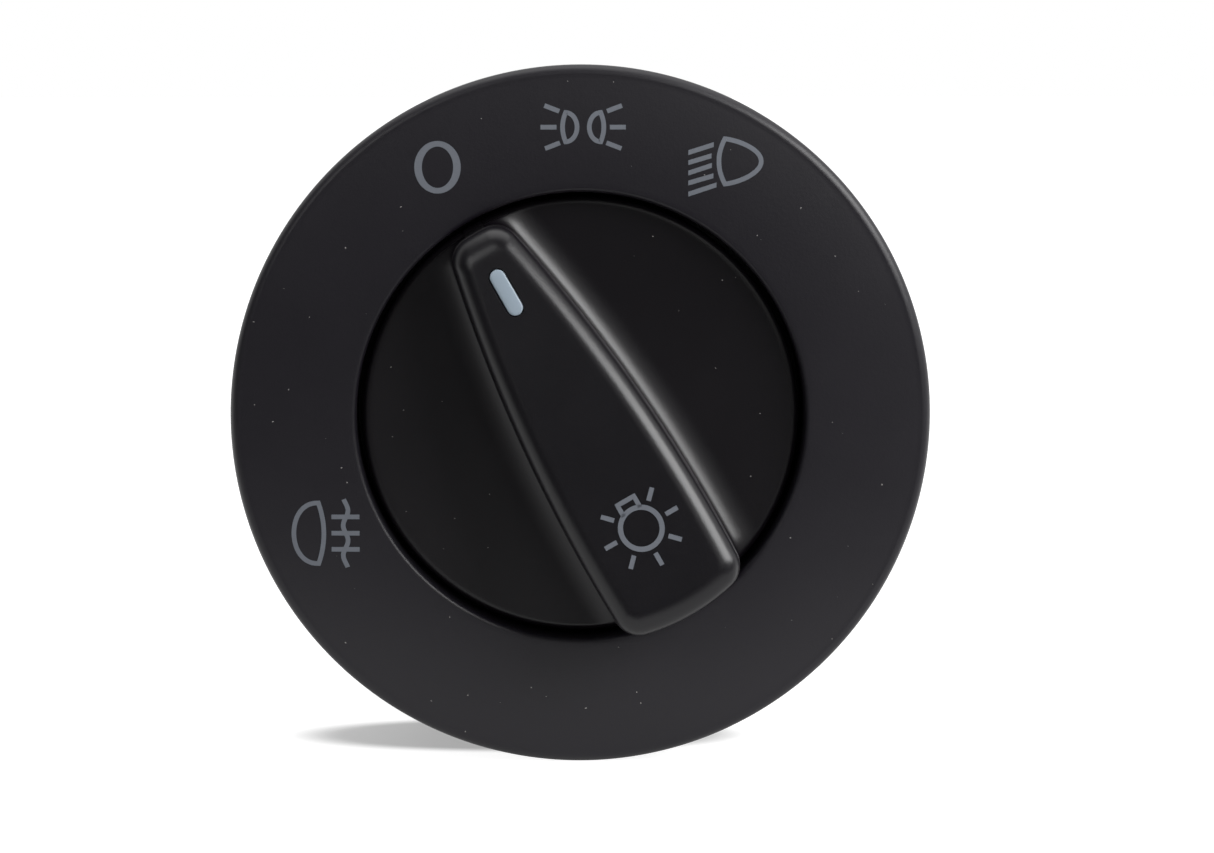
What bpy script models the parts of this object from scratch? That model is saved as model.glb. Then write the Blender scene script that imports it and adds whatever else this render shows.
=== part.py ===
"""Rotary headlight switch for a vehicle dashboard.

The knob turns through off, parking lights and low beam, pulls out for the rear fog lamp,
and pushes in to a release ring that draws in the two panel latches.

The object stands as it does in the car: the switch axis lies along Y, the face looks
towards -Y, +Z is up, and the origin is on the axis, in the plane of the panel's face.
Everything is modelled in a face frame under one empty: x right, y up, z towards the driver.
Clock angles run clockwise from the top, as the driver sees the face. Sizes are in mm.
"""

import math

import bmesh
import bpy
from mathutils import Vector

MM = 0.001

# Clearances
GAP = 0.3
SEAM = 0.1
INLAY = 0.1
BURY = 0.4
WELL_GAP = 0.85
CLUTCH_CLEAR = 0.8

# Bezel. The layout across the face, inside and out, follows its radius
BEZEL_RADIUS = 34.0
LAYOUT = BEZEL_RADIUS / 34.0
BEZEL_SIDE = 3.2
BEZEL_EDGE = 1.0
FACE_RISE = 0.7
WELL_EDGE = 0.5
SKIRT_WALL = 1.5
FACE_UNDERSIDE = 3.0
COLLAR_WALL = 1.35
COLLAR_END = -5.2
TAB_WIDTH = 5.0
TAB_WALL = 1.3
TAB_HOOK = 1.6
TAB_HOOK_HEIGHT = 1.3
TAB_END = -4.6
TAB_CLOCKS = (45, 135, 225, 315)

# Light guide behind the bezel
GUIDE_FLANGE = 1.2
GUIDE_WALL = 1.3
GUIDE_END = -5.0

# Housing
FLANGE_THICKNESS = 1.2
BARREL_WALL = 1.6
PARTITION_FRONT = -14.4
PARTITION_WALL = 1.6
REAR_BARREL_STEP = 2.2
REAR_BARREL_WALL = 2.2
BEARING_WALL = 1.3
BEARING_FRONT = -8.9
RING_SEAT_WALL = 1.4
PANEL_KEY_WIDTH = 3.0
PANEL_KEY_HEIGHT = 1.2
PANEL_KEY_LENGTH = 8.0
LUG_WIDTH = 3.6
LUG_HEIGHT = 1.2
LUG_LENGTH = 2.0
BOARD_RIB_CLOCKS = (28, 152, 208, 332)

# Circuit board and its lamps
BOARD_FRONT = -6.6
BOARD_THICKNESS = 1.6
LAMP_LENGTH = 2.4
LAMP_WIDTH = 1.6
LAMP_HEIGHT = 1.1
LAMP_CLOCKS = {"led_off": -30, "led_parking": 0, "led_beam": 30, "led_fog": -115}

# Knob
DISC_RADIUS = 20.9 * LAYOUT
DISC_HEIGHT = 2.7
DISC_EDGE = 0.4
DISC_DISH = 0.7
DISC_UNDERSIDE = 1.0
KNOB_SKIRT_WALL = 1.6
KNOB_SKIRT_END = -2.6
HUB_RADIUS = 4.4 * LAYOUT
HUB_BORE = 2.7 * LAYOUT
HUB_TAIL = 2.0
SPIGOT_RADIUS = 3.4 * LAYOUT
SPIGOT_LENGTH = 1.1
SPLINE_HEIGHT = 0.8
SPLINE_WIDTH = 1.6
SPLINE_GRIP = 0.5
CLUTCH_WALL = 1.6
CLUTCH_SPAN = 24.0
REST_CLOCK = -30.0
DETENT_STEP = 30.0
PULL_TRAVEL = 5.0
PUSH_TRAVEL = 2.0

# Grip bar
GRIP_HALF_WIDTH = 6.25 * LAYOUT
GRIP_TAPER = 0.085
GRIP_BELLY = 0.0034 / LAYOUT
GRIP_END_SETBACK = 0.15
GRIP_CORNER = 2.6 * LAYOUT
GRIP_TOP = 10.9
GRIP_SLOPE = 0.173
GRIP_DRAFT = 0.15
COVE_WIDTH = 3.0
COVE_HEIGHT = 1.8
GRIP_RIM_WALL = 0.8
GRIP_RIM_HEIGHT = 0.5
POCKET_FLOOR = 3.0

# Grip cap
CAP_EDGE_HEIGHT = 2.2
CAP_INSET = 0.12
CAP_SHOULDER = 2.0
CAP_END_SHOULDER = 2.5
CAP_WALL = 1.3
POINTER_LENGTH = 5.1 * LAYOUT
POINTER_WIDTH = 1.75 * LAYOUT
POINTER_PLACE = 14.5 * LAYOUT
POINTER_DEPTH = 1.5

# Light guide in the knob
PADDLE_THICKNESS = 1.5
PADDLE_END = 4.6 * LAYOUT

# Rotor
DRUM_RADIUS = 16.0 * LAYOUT
DRUM_REAR = -23.5
JOURNAL_BORE_END = -15.0
DRUM_BORE = 6.0 * LAYOUT
JOURNAL_WALL = 2.7
SCALLOP_RADIUS = 2.2
SCALLOP_DEPTH = 1.0
STOP_HEIGHT = 3.0
STOP_SPAN = 10.0
STOP_FRONT = -17.0
STOP_LENGTH = 3.0
WIPER_WIDTH = 1.8 * LAYOUT
WIPER_STOCK = 0.3
WIPER_LENGTH = 8.8 * LAYOUT
WIPER_POCKET = 1.7
WIPER_PLACES = {
    "wiper_1": (13.2 * LAYOUT, 80),
    "wiper_2": (10.8 * LAYOUT, 300),
    "wiper_3": (8.6 * LAYOUT, 190),
}

# Detent springs
DETENT_STOCK = 0.4
DETENT_WIDTH = 3.0
DETENT_FRONT = -17.4
DETENT_POST = 1.1
DETENT_POST_PLACE = (8.2 * LAYOUT, 20.7 * LAYOUT)
DETENT_POST_LENGTH = 5.6

# Contact plate, tracks and fog contacts
PLATE_FRONT = -24.6
PLATE_THICKNESS = 1.6
PLATE_LEDGE = 0.6
TRACK_THICKNESS = 0.3
TRACK_WIDTH = 2.0 * LAYOUT
PULL_RING_RADIUS = 5.2 * LAYOUT
PULL_RING_THICKNESS = 0.6
FOG_STOCK = 0.3
FOG_WIDTH = 1.6 * LAYOUT
KNOB_LAMP_WIDTH = 2.0
KNOB_LAMP_HEIGHT = 1.2
PIN_SIZE = 0.8
PIN_RADIUS = 21.5 * LAYOUT
PIN_CLOCKS = {"board_pin_1": 220, "board_pin_2": 228, "board_pin_3": 236}

# Rear cover and connector
COVER_THICKNESS = 1.5
TONGUE_WALL = 1.2
TONGUE_WIDTH = 6.0
TONGUE_END = -20.6
TONGUE_LIP = 1.5
SHROUD_WIDTH = 31.0
SHROUD_HEIGHT = 17.0
SHROUD_WALL = 1.5
SHROUD_CORNER = 2.0
SHROUD_END = -45.0
PLUG_RAMP_WIDTH = 6.0
PLUG_RAMP_HEIGHT = 1.8
PLUG_RAMP_START = 4.0
PLUG_RAMP_RUN = 4.0
PLUG_RAMP_LAND = 0.8
PLUG_KEY_WIDTH = 1.4
PLUG_KEY_HEIGHT = 1.4
PLUG_KEY_INSET = 5.5
PLUG_KEY_SETBACK = 1.0
TERMINAL_COLUMNS = 5
TERMINAL_PITCH = 5.0
TERMINAL_ROW = 3.2
TERMINAL_WIDTH = 2.8
TERMINAL_THICKNESS = 0.8
TERMINAL_ROOT = 0.9
TERMINAL_END = -40.5

# Return spring
SPRING_RADIUS = 6.1 * LAYOUT
SPRING_WIRE = 0.6
SPRING_TURNS = 4.0

# Panel latches and their springs
PANEL_THICKNESS = 3.0
LATCH_WIDTH = 8.4
LATCH_THICKNESS = 2.8
LATCH_NOSE = 3.5
LATCH_TRAVEL = 2.6
LATCH_PIN_RADIUS = 1.2
LATCH_PIN_PLACE = 16.0 * LAYOUT
LATCH_PIN_RIM = 0.6
LATCH_WEB = 0.4
LATCH_WINDOW_WIDTH = 4.2
LATCH_SPRING_LENGTH = 5.6 * LAYOUT
LATCH_SPRING_RADIUS = 1.0
LATCH_SPRING_WIRE = 0.4
LATCH_SPRING_TURNS = 3.0
LATCH_POST = 1.5

# Release ring
RING_RADIUS = 20.0 * LAYOUT
RING_THICKNESS = 2.2
RING_TURN = 30.0
RING_NOTCH_DEPTH = 1.3
SLOT_CLEARANCE = 0.25

# Facets round a turn
FINE_STEPS = 52
PLAIN_STEPS = 32
SMALL_STEPS = 16

# Places that follow from the sizes above
WELL_RADIUS = DISC_RADIUS + WELL_GAP
GRIP_END_RADIUS = DISC_RADIUS - GRIP_END_SETBACK
SEAT_INNER = BEZEL_RADIUS - SKIRT_WALL
BEZEL_COLLAR = WELL_RADIUS + COLLAR_WALL
GUIDE_INNER = BEZEL_COLLAR + GAP
GUIDE_OUTER = SEAT_INNER - GAP
GUIDE_FRONT = FACE_UNDERSIDE - GAP
TAB_OUTER = GUIDE_INNER + GUIDE_WALL + 2 * GAP + TAB_WALL
BARREL_INNER = TAB_OUTER + GAP + INLAY
BARREL_RADIUS = BARREL_INNER + BARREL_WALL
REAR_BARREL_RADIUS = BARREL_RADIUS - REAR_BARREL_STEP
PARTITION_REAR = PARTITION_FRONT - PARTITION_WALL
REAR_INNER = REAR_BARREL_RADIUS - REAR_BARREL_WALL
PLATE_RADIUS = REAR_INNER + PLATE_LEDGE
PLATE_REAR = PLATE_FRONT - PLATE_THICKNESS
HOUSING_REAR = PLATE_REAR
COVER_FRONT = HOUSING_REAR - GAP
COVER_REAR = COVER_FRONT - COVER_THICKNESS
BOARD_REAR = BOARD_FRONT - BOARD_THICKNESS
BOARD_RADIUS = BARREL_INNER - GAP
ROTOR_BORE = HUB_RADIUS + GAP
JOURNAL_RADIUS = ROTOR_BORE + JOURNAL_WALL
BEARING_BORE = JOURNAL_RADIUS + GAP
BEARING_RADIUS = BEARING_BORE + BEARING_WALL
CLUTCH_INNER = BEARING_RADIUS + 2 * GAP
BOARD_BORE = CLUTCH_INNER + CLUTCH_WALL + CLUTCH_CLEAR
SPLINE_END = JOURNAL_BORE_END - PULL_TRAVEL + SPLINE_GRIP
HUB_END = SPLINE_END - HUB_TAIL
DRUM_FRONT = PARTITION_REAR - GAP
RING_FRONT = BOARD_REAR - GAP - INLAY
RING_REAR = RING_FRONT - RING_THICKNESS
RING_BORE = BEARING_RADIUS + GAP
RING_SEAT = RING_REAR - GAP
LATCH_FRONT = RING_REAR - GAP - INLAY
LATCH_REAR = LATCH_FRONT - LATCH_THICKNESS
LATCH_REACH = BARREL_RADIUS + LATCH_TRAVEL
LATCH_INNER = LATCH_PIN_PLACE - LATCH_PIN_RADIUS - LATCH_PIN_RIM
WINDOW_INNER = LATCH_PIN_PLACE + LATCH_PIN_RADIUS + LATCH_WEB
POST_INNER = WINDOW_INNER + GAP
SPRING_INNER = POST_INNER + LATCH_POST + GAP
WINDOW_OUTER = SPRING_INNER + LATCH_SPRING_LENGTH + GAP
CLUTCH_END = RING_FRONT + GAP + PUSH_TRAVEL
TRACK_FRONT = PLATE_FRONT + INLAY + TRACK_THICKNESS
LAMP_RADIUS = GUIDE_INNER + GUIDE_WALL / 2
LUG_REAR = TONGUE_END - TONGUE_LIP - GAP - LUG_LENGTH


def clear_scene():
    for obj in list(bpy.data.objects):
        bpy.data.objects.remove(obj, do_unlink=True)


def new_collection(name):
    group = bpy.data.collections.new(name)
    bpy.context.scene.collection.children.link(group)
    return group


def new_material(name, colour, roughness, metallic=0.0):
    made = bpy.data.materials.new(name)
    made.use_nodes = True
    shader = made.node_tree.nodes["Principled BSDF"]
    shader.inputs["Base Color"].default_value = (*colour, 1.0)
    shader.inputs["Roughness"].default_value = roughness
    shader.inputs["Metallic"].default_value = metallic
    made.diffuse_color = (*colour, 1.0)
    return made


def empty(name, parent=None, place=(0, 0, 0), turn=0.0):
    """An empty in the parts' collection. Turn is in degrees, counterclockwise on the face."""
    made = bpy.data.objects.new(name, None)
    PARTS.objects.link(made)
    made.empty_display_size = 5 * MM
    made.parent = parent
    made.location = Vector(place) * MM
    made.rotation_euler.z = math.radians(turn)
    return made


def add_object(name, mesh, parent, material=None):
    """A part where it has a material, and otherwise a tool that cuts or is joined."""
    made = bpy.data.objects.new(name, mesh)
    made.parent = parent
    if material:
        PARTS.objects.link(made)
        mesh.materials.append(material)
        return made
    TOOLS.objects.link(made)
    made.hide_render = True
    made.display_type = "WIRE"
    return made


def polar(radius, clock):
    angle = math.radians(clock)
    return radius * math.sin(angle), radius * math.cos(angle)


def mesh_from(name, shape):
    mesh = bpy.data.meshes.new(name)
    bmesh.ops.recalc_face_normals(shape, faces=shape.faces[:])
    shape.to_mesh(mesh)
    shape.free()
    return mesh


def turned(name, profile, steps, parent, material=None):
    """A closed profile of radius and height, turned about z. It runs down its outer side."""
    shape = bmesh.new()
    points = [shape.verts.new((r * MM, 0.0, z * MM)) for r, z in profile]
    for start, end in zip(points, points[1:] + points[:1]):
        shape.edges.new((start, end))
    mesh = bpy.data.meshes.new(name)
    shape.to_mesh(mesh)
    shape.free()
    made = add_object(name, mesh, parent, material)
    screw = made.modifiers.new("Turn", "SCREW")
    screw.axis = "Z"
    screw.angle = math.tau
    screw.steps = screw.render_steps = steps
    screw.use_merge_vertices = True
    screw.merge_threshold = 0.000001
    return made


def box(name, size, centre, parent, material=None, clock=0.0):
    """A box whose size and centre are given before it is turned to its clock angle."""
    shape = bmesh.new()
    bmesh.ops.create_cube(shape, size=1.0)
    bmesh.ops.scale(shape, vec=Vector(size) * MM, verts=shape.verts[:])
    made = add_object(name, mesh_from(name, shape), parent, material)
    x, y, z = centre
    away, up = polar(1.0, clock)
    made.location = Vector((x * up + y * away, y * up - x * away, z)) * MM
    made.rotation_euler.z = -math.radians(clock)
    return made


def rod(name, radius, low, high, parent, material=None, segments=16, place=(0, 0)):
    shape = bmesh.new()
    bmesh.ops.create_cone(
        shape, cap_ends=True, segments=segments,
        radius1=radius * MM, radius2=radius * MM, depth=(high - low) * MM,
    )
    made = add_object(name, mesh_from(name, shape), parent, material)
    made.location = Vector((*place, (low + high) / 2)) * MM
    return made


def mesh_of_curve(name, curve):
    """The curve as a closed mesh, with its caps welded on."""
    holder = bpy.data.objects.new(name, curve)
    bpy.context.scene.collection.objects.link(holder)
    bpy.context.view_layer.update()
    seen = holder.evaluated_get(bpy.context.evaluated_depsgraph_get())
    mesh = bpy.data.meshes.new_from_object(seen)
    bpy.data.objects.remove(holder, do_unlink=True)
    bpy.data.curves.remove(curve)
    shape = bmesh.new()
    shape.from_mesh(mesh)
    bmesh.ops.remove_doubles(shape, verts=shape.verts[:], dist=0.0000005)
    bpy.data.meshes.remove(mesh)
    return mesh_from(name, shape)


def new_curve(name, lines, flat, closed):
    curve = bpy.data.curves.new(name, "CURVE")
    curve.dimensions = "2D" if flat else "3D"
    for points in lines:
        spline = curve.splines.new("POLY")
        spline.points.add(len(points) - 1)
        for knot, point in zip(spline.points, points):
            place = Vector((*point, 0.0)[:3]) * MM
            knot.co = (*place, 1.0)
        spline.use_cyclic_u = closed
    return curve


def plate(name, outlines, low, high, parent, material=None):
    """Flat outlines given a thickness along z, from low to high. Inner outlines are holes."""
    curve = new_curve(name, outlines, True, True)
    curve.fill_mode = "BOTH"
    curve.extrude = (high - low) / 2 * MM
    made = add_object(name, mesh_of_curve(name, curve), parent, material)
    made.location.z = (low + high) / 2 * MM
    return made


def upright_plate(name, outline, width, parent, material=None, shift=0.0):
    """An outline of x and z, as wide along y as stated."""
    made = plate(name, [outline], -width / 2, width / 2, parent, material)
    made.rotation_euler.x = math.radians(90)
    made.location = Vector((0, shift, 0)) * MM
    return made


def strip(name, points, width, thickness, parent, material):
    """A bent strip of sheet metal: a line of points drawn out to a ribbon, then thickened."""
    curve = new_curve(name, [points], False, False)
    curve.extrude = width / 2 * MM
    made = add_object(name, mesh_of_curve(name, curve), parent, material)
    sheet = made.modifiers.new("Sheet", "SOLIDIFY")
    sheet.thickness = thickness * MM
    sheet.offset = 0.0
    sheet.use_even_offset = True
    return made


def coil(name, radius, wire, low, high, turns, steps, parent, material):
    """A helical spring along z, with its wire's ends cut square."""
    count = round(turns * steps)
    points = []
    for i in range(count + 1):
        angle = math.tau * turns * i / count
        height = low + wire / 2 + (high - low - wire) * i / count
        points.append((radius * math.cos(angle), radius * math.sin(angle), height))
    curve = new_curve(name, [points], False, False)
    curve.bevel_depth = wire / 2 * MM
    curve.bevel_resolution = 2
    curve.use_fill_caps = True
    return add_object(name, mesh_of_curve(name, curve), parent, material)


def sector(inner, outer, clock, span, steps):
    """The outline of a piece of a ring, span degrees wide."""
    clocks = [clock - span / 2 + span * i / steps for i in range(steps + 1)]
    return [polar(outer, c) for c in clocks] + [polar(inner, c) for c in reversed(clocks)]


def stadium(length, width, steps):
    """An outline along y with round ends."""
    outline = []
    for sign in (1, -1):
        for i in range(steps + 1):
            angle = math.pi * i / steps
            x = sign * width / 2 * math.cos(angle)
            y = sign * ((length - width) / 2 + width / 2 * math.sin(angle))
            outline.append((x, y))
    return outline


def rounded_box(width, height, corner, steps):
    outline = []
    for i, (x, y) in enumerate(((1, 1), (-1, 1), (-1, -1), (1, -1))):
        for k in range(steps + 1):
            angle = math.pi / 2 * (i + k / steps)
            px = x * (width / 2 - corner) + corner * math.cos(angle)
            py = y * (height / 2 - corner) + corner * math.sin(angle)
            outline.append((px, py))
    return outline


def combine(target, operation, tools):
    for tool in tools:
        step = target.modifiers.new(tool.name, "BOOLEAN")
        step.operation = operation
        step.object = tool
        step.solver = "EXACT"


def join(target, *tools):
    combine(target, "UNION", tools)


def cut(target, *tools):
    combine(target, "DIFFERENCE", tools)


def loft(name, rings, parent, material=None, closed=True):
    """A skin through rings of as many points each. Closed puts a flat cap on both ends."""
    shape = bmesh.new()
    rows = [[shape.verts.new(Vector(p) * MM) for p in ring] for ring in rings]
    for lower, upper in zip(rows, rows[1:]):
        for i in range(len(lower)):
            k = (i + 1) % len(lower)
            shape.faces.new((lower[i], lower[k], upper[k], upper[i]))
    shape.faces.new(rows[-1])
    if closed:
        shape.faces.new(rows[0])
    return add_object(name, mesh_from(name, shape), parent, material)


# Grip outline

END_STEPS = 2
CORNER_STEPS = 3
SIDE_STEPS = 5


def grip_half_width(along):
    return GRIP_HALF_WIDTH + GRIP_TAPER * along - GRIP_BELLY * along * along


def grip_corner(sign, side, end, corner):
    """Centre of the rounded corner between one side and the end towards sign, and the slope there."""
    along = sign * (end - corner)
    for _ in range(40):
        slope = GRIP_TAPER - 2 * GRIP_BELLY * along
        across = grip_half_width(along) + side - corner * math.hypot(1.0, slope)
        along = sign * math.sqrt((end - corner) ** 2 - across ** 2)
    return along, across, slope


def grip_quarter(sign, side, end, corner, spread):
    """Points from the middle of an end, round its corner, to the start of the side."""
    along, across, slope = grip_corner(sign, side, end, corner)
    reach = corner + spread
    middle = end - corner
    bend = (end ** 2 - middle ** 2 - reach ** 2) / (2 * middle * reach)
    first = math.atan2(across, along) + sign * math.acos(min(1.0, bend))
    last = math.atan2(1.0, -slope)
    points = []
    for i in range(CORNER_STEPS + 1):
        angle = first + (last - first) * i / CORNER_STEPS
        points.append((along + reach * math.cos(angle), across + reach * math.sin(angle)))
    start = math.atan2(points[0][1], points[0][0])
    middle_clock = 0.0 if sign > 0 else math.pi
    arc = []
    for i in range(END_STEPS):
        angle = middle_clock + (start - middle_clock) * i / END_STEPS
        arc.append((end * math.cos(angle), end * math.sin(angle)))
    return arc + points


def grip_ring(side=0.0, end=GRIP_END_RADIUS, corner=GRIP_CORNER, spread=0.0):
    """Points (x, y) round the grip, whose tip is at +y.

    Side is added to the half width, end is the radius of both ends, and spread offsets
    the outline outwards as far as the end circle lets it.
    """
    tip = grip_quarter(-1, side, end, corner, spread)
    wide = grip_quarter(1, side, end, corner, spread)
    start, stop = tip[-1], wide[-1]
    between = []
    for i in range(1, SIDE_STEPS):
        along = start[0] + (stop[0] - start[0]) * i / SIDE_STEPS
        slope = GRIP_TAPER - 2 * GRIP_BELLY * along
        between.append((along, grip_half_width(along) + side + spread * math.hypot(1.0, slope)))
    half = tip + between + list(reversed(wide))
    whole = half + [(along, -across) for along, across in reversed(half[1:-1])]
    return [(across, -along) for along, across in whole]


def grip_top(y):
    return DISC_HEIGHT + GRIP_TOP - GRIP_SLOPE * y


def disc_top(radius):
    return DISC_HEIGHT - DISC_DISH * max(0.0, 1.0 - (radius / (DISC_RADIUS - DISC_EDGE)) ** 2)


clear_scene()
PARTS = new_collection("headlight_switch")
TOOLS = new_collection("headlight_switch_tools")

BLACK = new_material("black_plastic", (0.018, 0.017, 0.020), 0.42)
SATIN = new_material("satin_black_plastic", (0.012, 0.011, 0.014), 0.34)
GREY = new_material("dark_grey_plastic", (0.035, 0.036, 0.038), 0.55)
NATURAL = new_material("natural_plastic", (0.55, 0.53, 0.47), 0.5)
WHITE = new_material("white_plastic", (0.62, 0.66, 0.70), 0.4)
CLEAR = new_material("clear_plastic", (0.80, 0.84, 0.86), 0.12)
BOARD = new_material("black_board_laminate", (0.010, 0.012, 0.011), 0.45)
BRASS = new_material("brass", (0.66, 0.47, 0.20), 0.3, 1.0)
TINNED = new_material("tinned_copper", (0.70, 0.70, 0.68), 0.28, 1.0)
STEEL = new_material("spring_steel", (0.46, 0.46, 0.47), 0.32, 1.0)
LAMP = new_material("lamp_body", (0.82, 0.80, 0.68), 0.35)

FACE = empty("face")
FACE.rotation_euler.x = math.radians(90)
ROTOR_AXIS = empty("rotor_axis", FACE)
KNOB_AXIS = empty("knob_axis", FACE, turn=-REST_CLOCK)
RING_AXIS = empty("release_ring_axis", FACE)
LATCH_SIDES = {
    "right": empty("latch_right_slide", FACE),
    "left": empty("latch_left_slide", FACE, turn=180.0),
}


def bezel():
    """Turned face with a gently convex surface, its skirt, the well's collar and four snap tabs."""
    face_outer = BEZEL_RADIUS - BEZEL_EDGE
    face_inner = WELL_RADIUS + WELL_EDGE
    edge_top = BEZEL_SIDE + BEZEL_EDGE
    top = edge_top + FACE_RISE
    profile = []
    for i in range(3):
        angle = math.pi / 4 * i
        r = face_inner - WELL_EDGE * math.cos(angle)
        profile.append((r, top - WELL_EDGE + WELL_EDGE * math.sin(angle)))
    for i in range(1, 4):
        share = i / 4
        profile.append((face_inner + (face_outer - face_inner) * share, top - FACE_RISE * share ** 2))
    for i in range(3):
        angle = math.pi / 4 * i
        r = face_outer + BEZEL_EDGE * math.sin(angle)
        profile.append((r, edge_top - BEZEL_EDGE + BEZEL_EDGE * math.cos(angle)))
    profile += [
        (BEZEL_RADIUS, 0.0),
        (SEAT_INNER, 0.0),
        (SEAT_INNER, FACE_UNDERSIDE),
        (BEZEL_COLLAR, FACE_UNDERSIDE),
        (BEZEL_COLLAR, COLLAR_END),
        (WELL_RADIUS, COLLAR_END),
    ]
    made = turned("bezel", profile, FINE_STEPS, FACE, BLACK)
    hook_top = TAB_END + TAB_HOOK_HEIGHT
    inner = TAB_OUTER - TAB_WALL
    outline = [
        (inner, TAB_END),
        (TAB_OUTER, TAB_END),
        (TAB_OUTER + TAB_HOOK, hook_top - 0.4),
        (TAB_OUTER + TAB_HOOK, hook_top),
        (TAB_OUTER, hook_top),
        (TAB_OUTER, FACE_UNDERSIDE + BURY),
        (inner, FACE_UNDERSIDE + BURY),
    ]
    for clock in TAB_CLOCKS:
        holder = empty(f"tab_place_{clock}", FACE, turn=90.0 - clock)
        join(made, upright_plate(f"tab_{clock}", outline, TAB_WIDTH, holder))
    return made


def light_guide_ring():
    """Clear ring behind the bezel's symbols, with a collar that ends at the lamps."""
    rear = GUIDE_FRONT - GUIDE_FLANGE
    profile = [
        (GUIDE_INNER, GUIDE_FRONT),
        (GUIDE_OUTER, GUIDE_FRONT),
        (GUIDE_OUTER, rear),
        (GUIDE_INNER + GUIDE_WALL, rear),
        (GUIDE_INNER + GUIDE_WALL, GUIDE_END),
        (GUIDE_INNER, GUIDE_END),
    ]
    made = turned("light_guide_ring", profile, PLAIN_STEPS, FACE, CLEAR)
    depth = TAB_WALL + 2 * GAP
    for clock in TAB_CLOCKS:
        cut(made, box(
            f"guide_notch_{clock}", (TAB_WIDTH + 2 * GAP, depth, GUIDE_FLANGE + 2.0),
            (0, TAB_OUTER + GAP - depth / 2, GUIDE_FRONT - GUIDE_FLANGE / 2), FACE, clock=clock,
        ))
    return made


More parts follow.
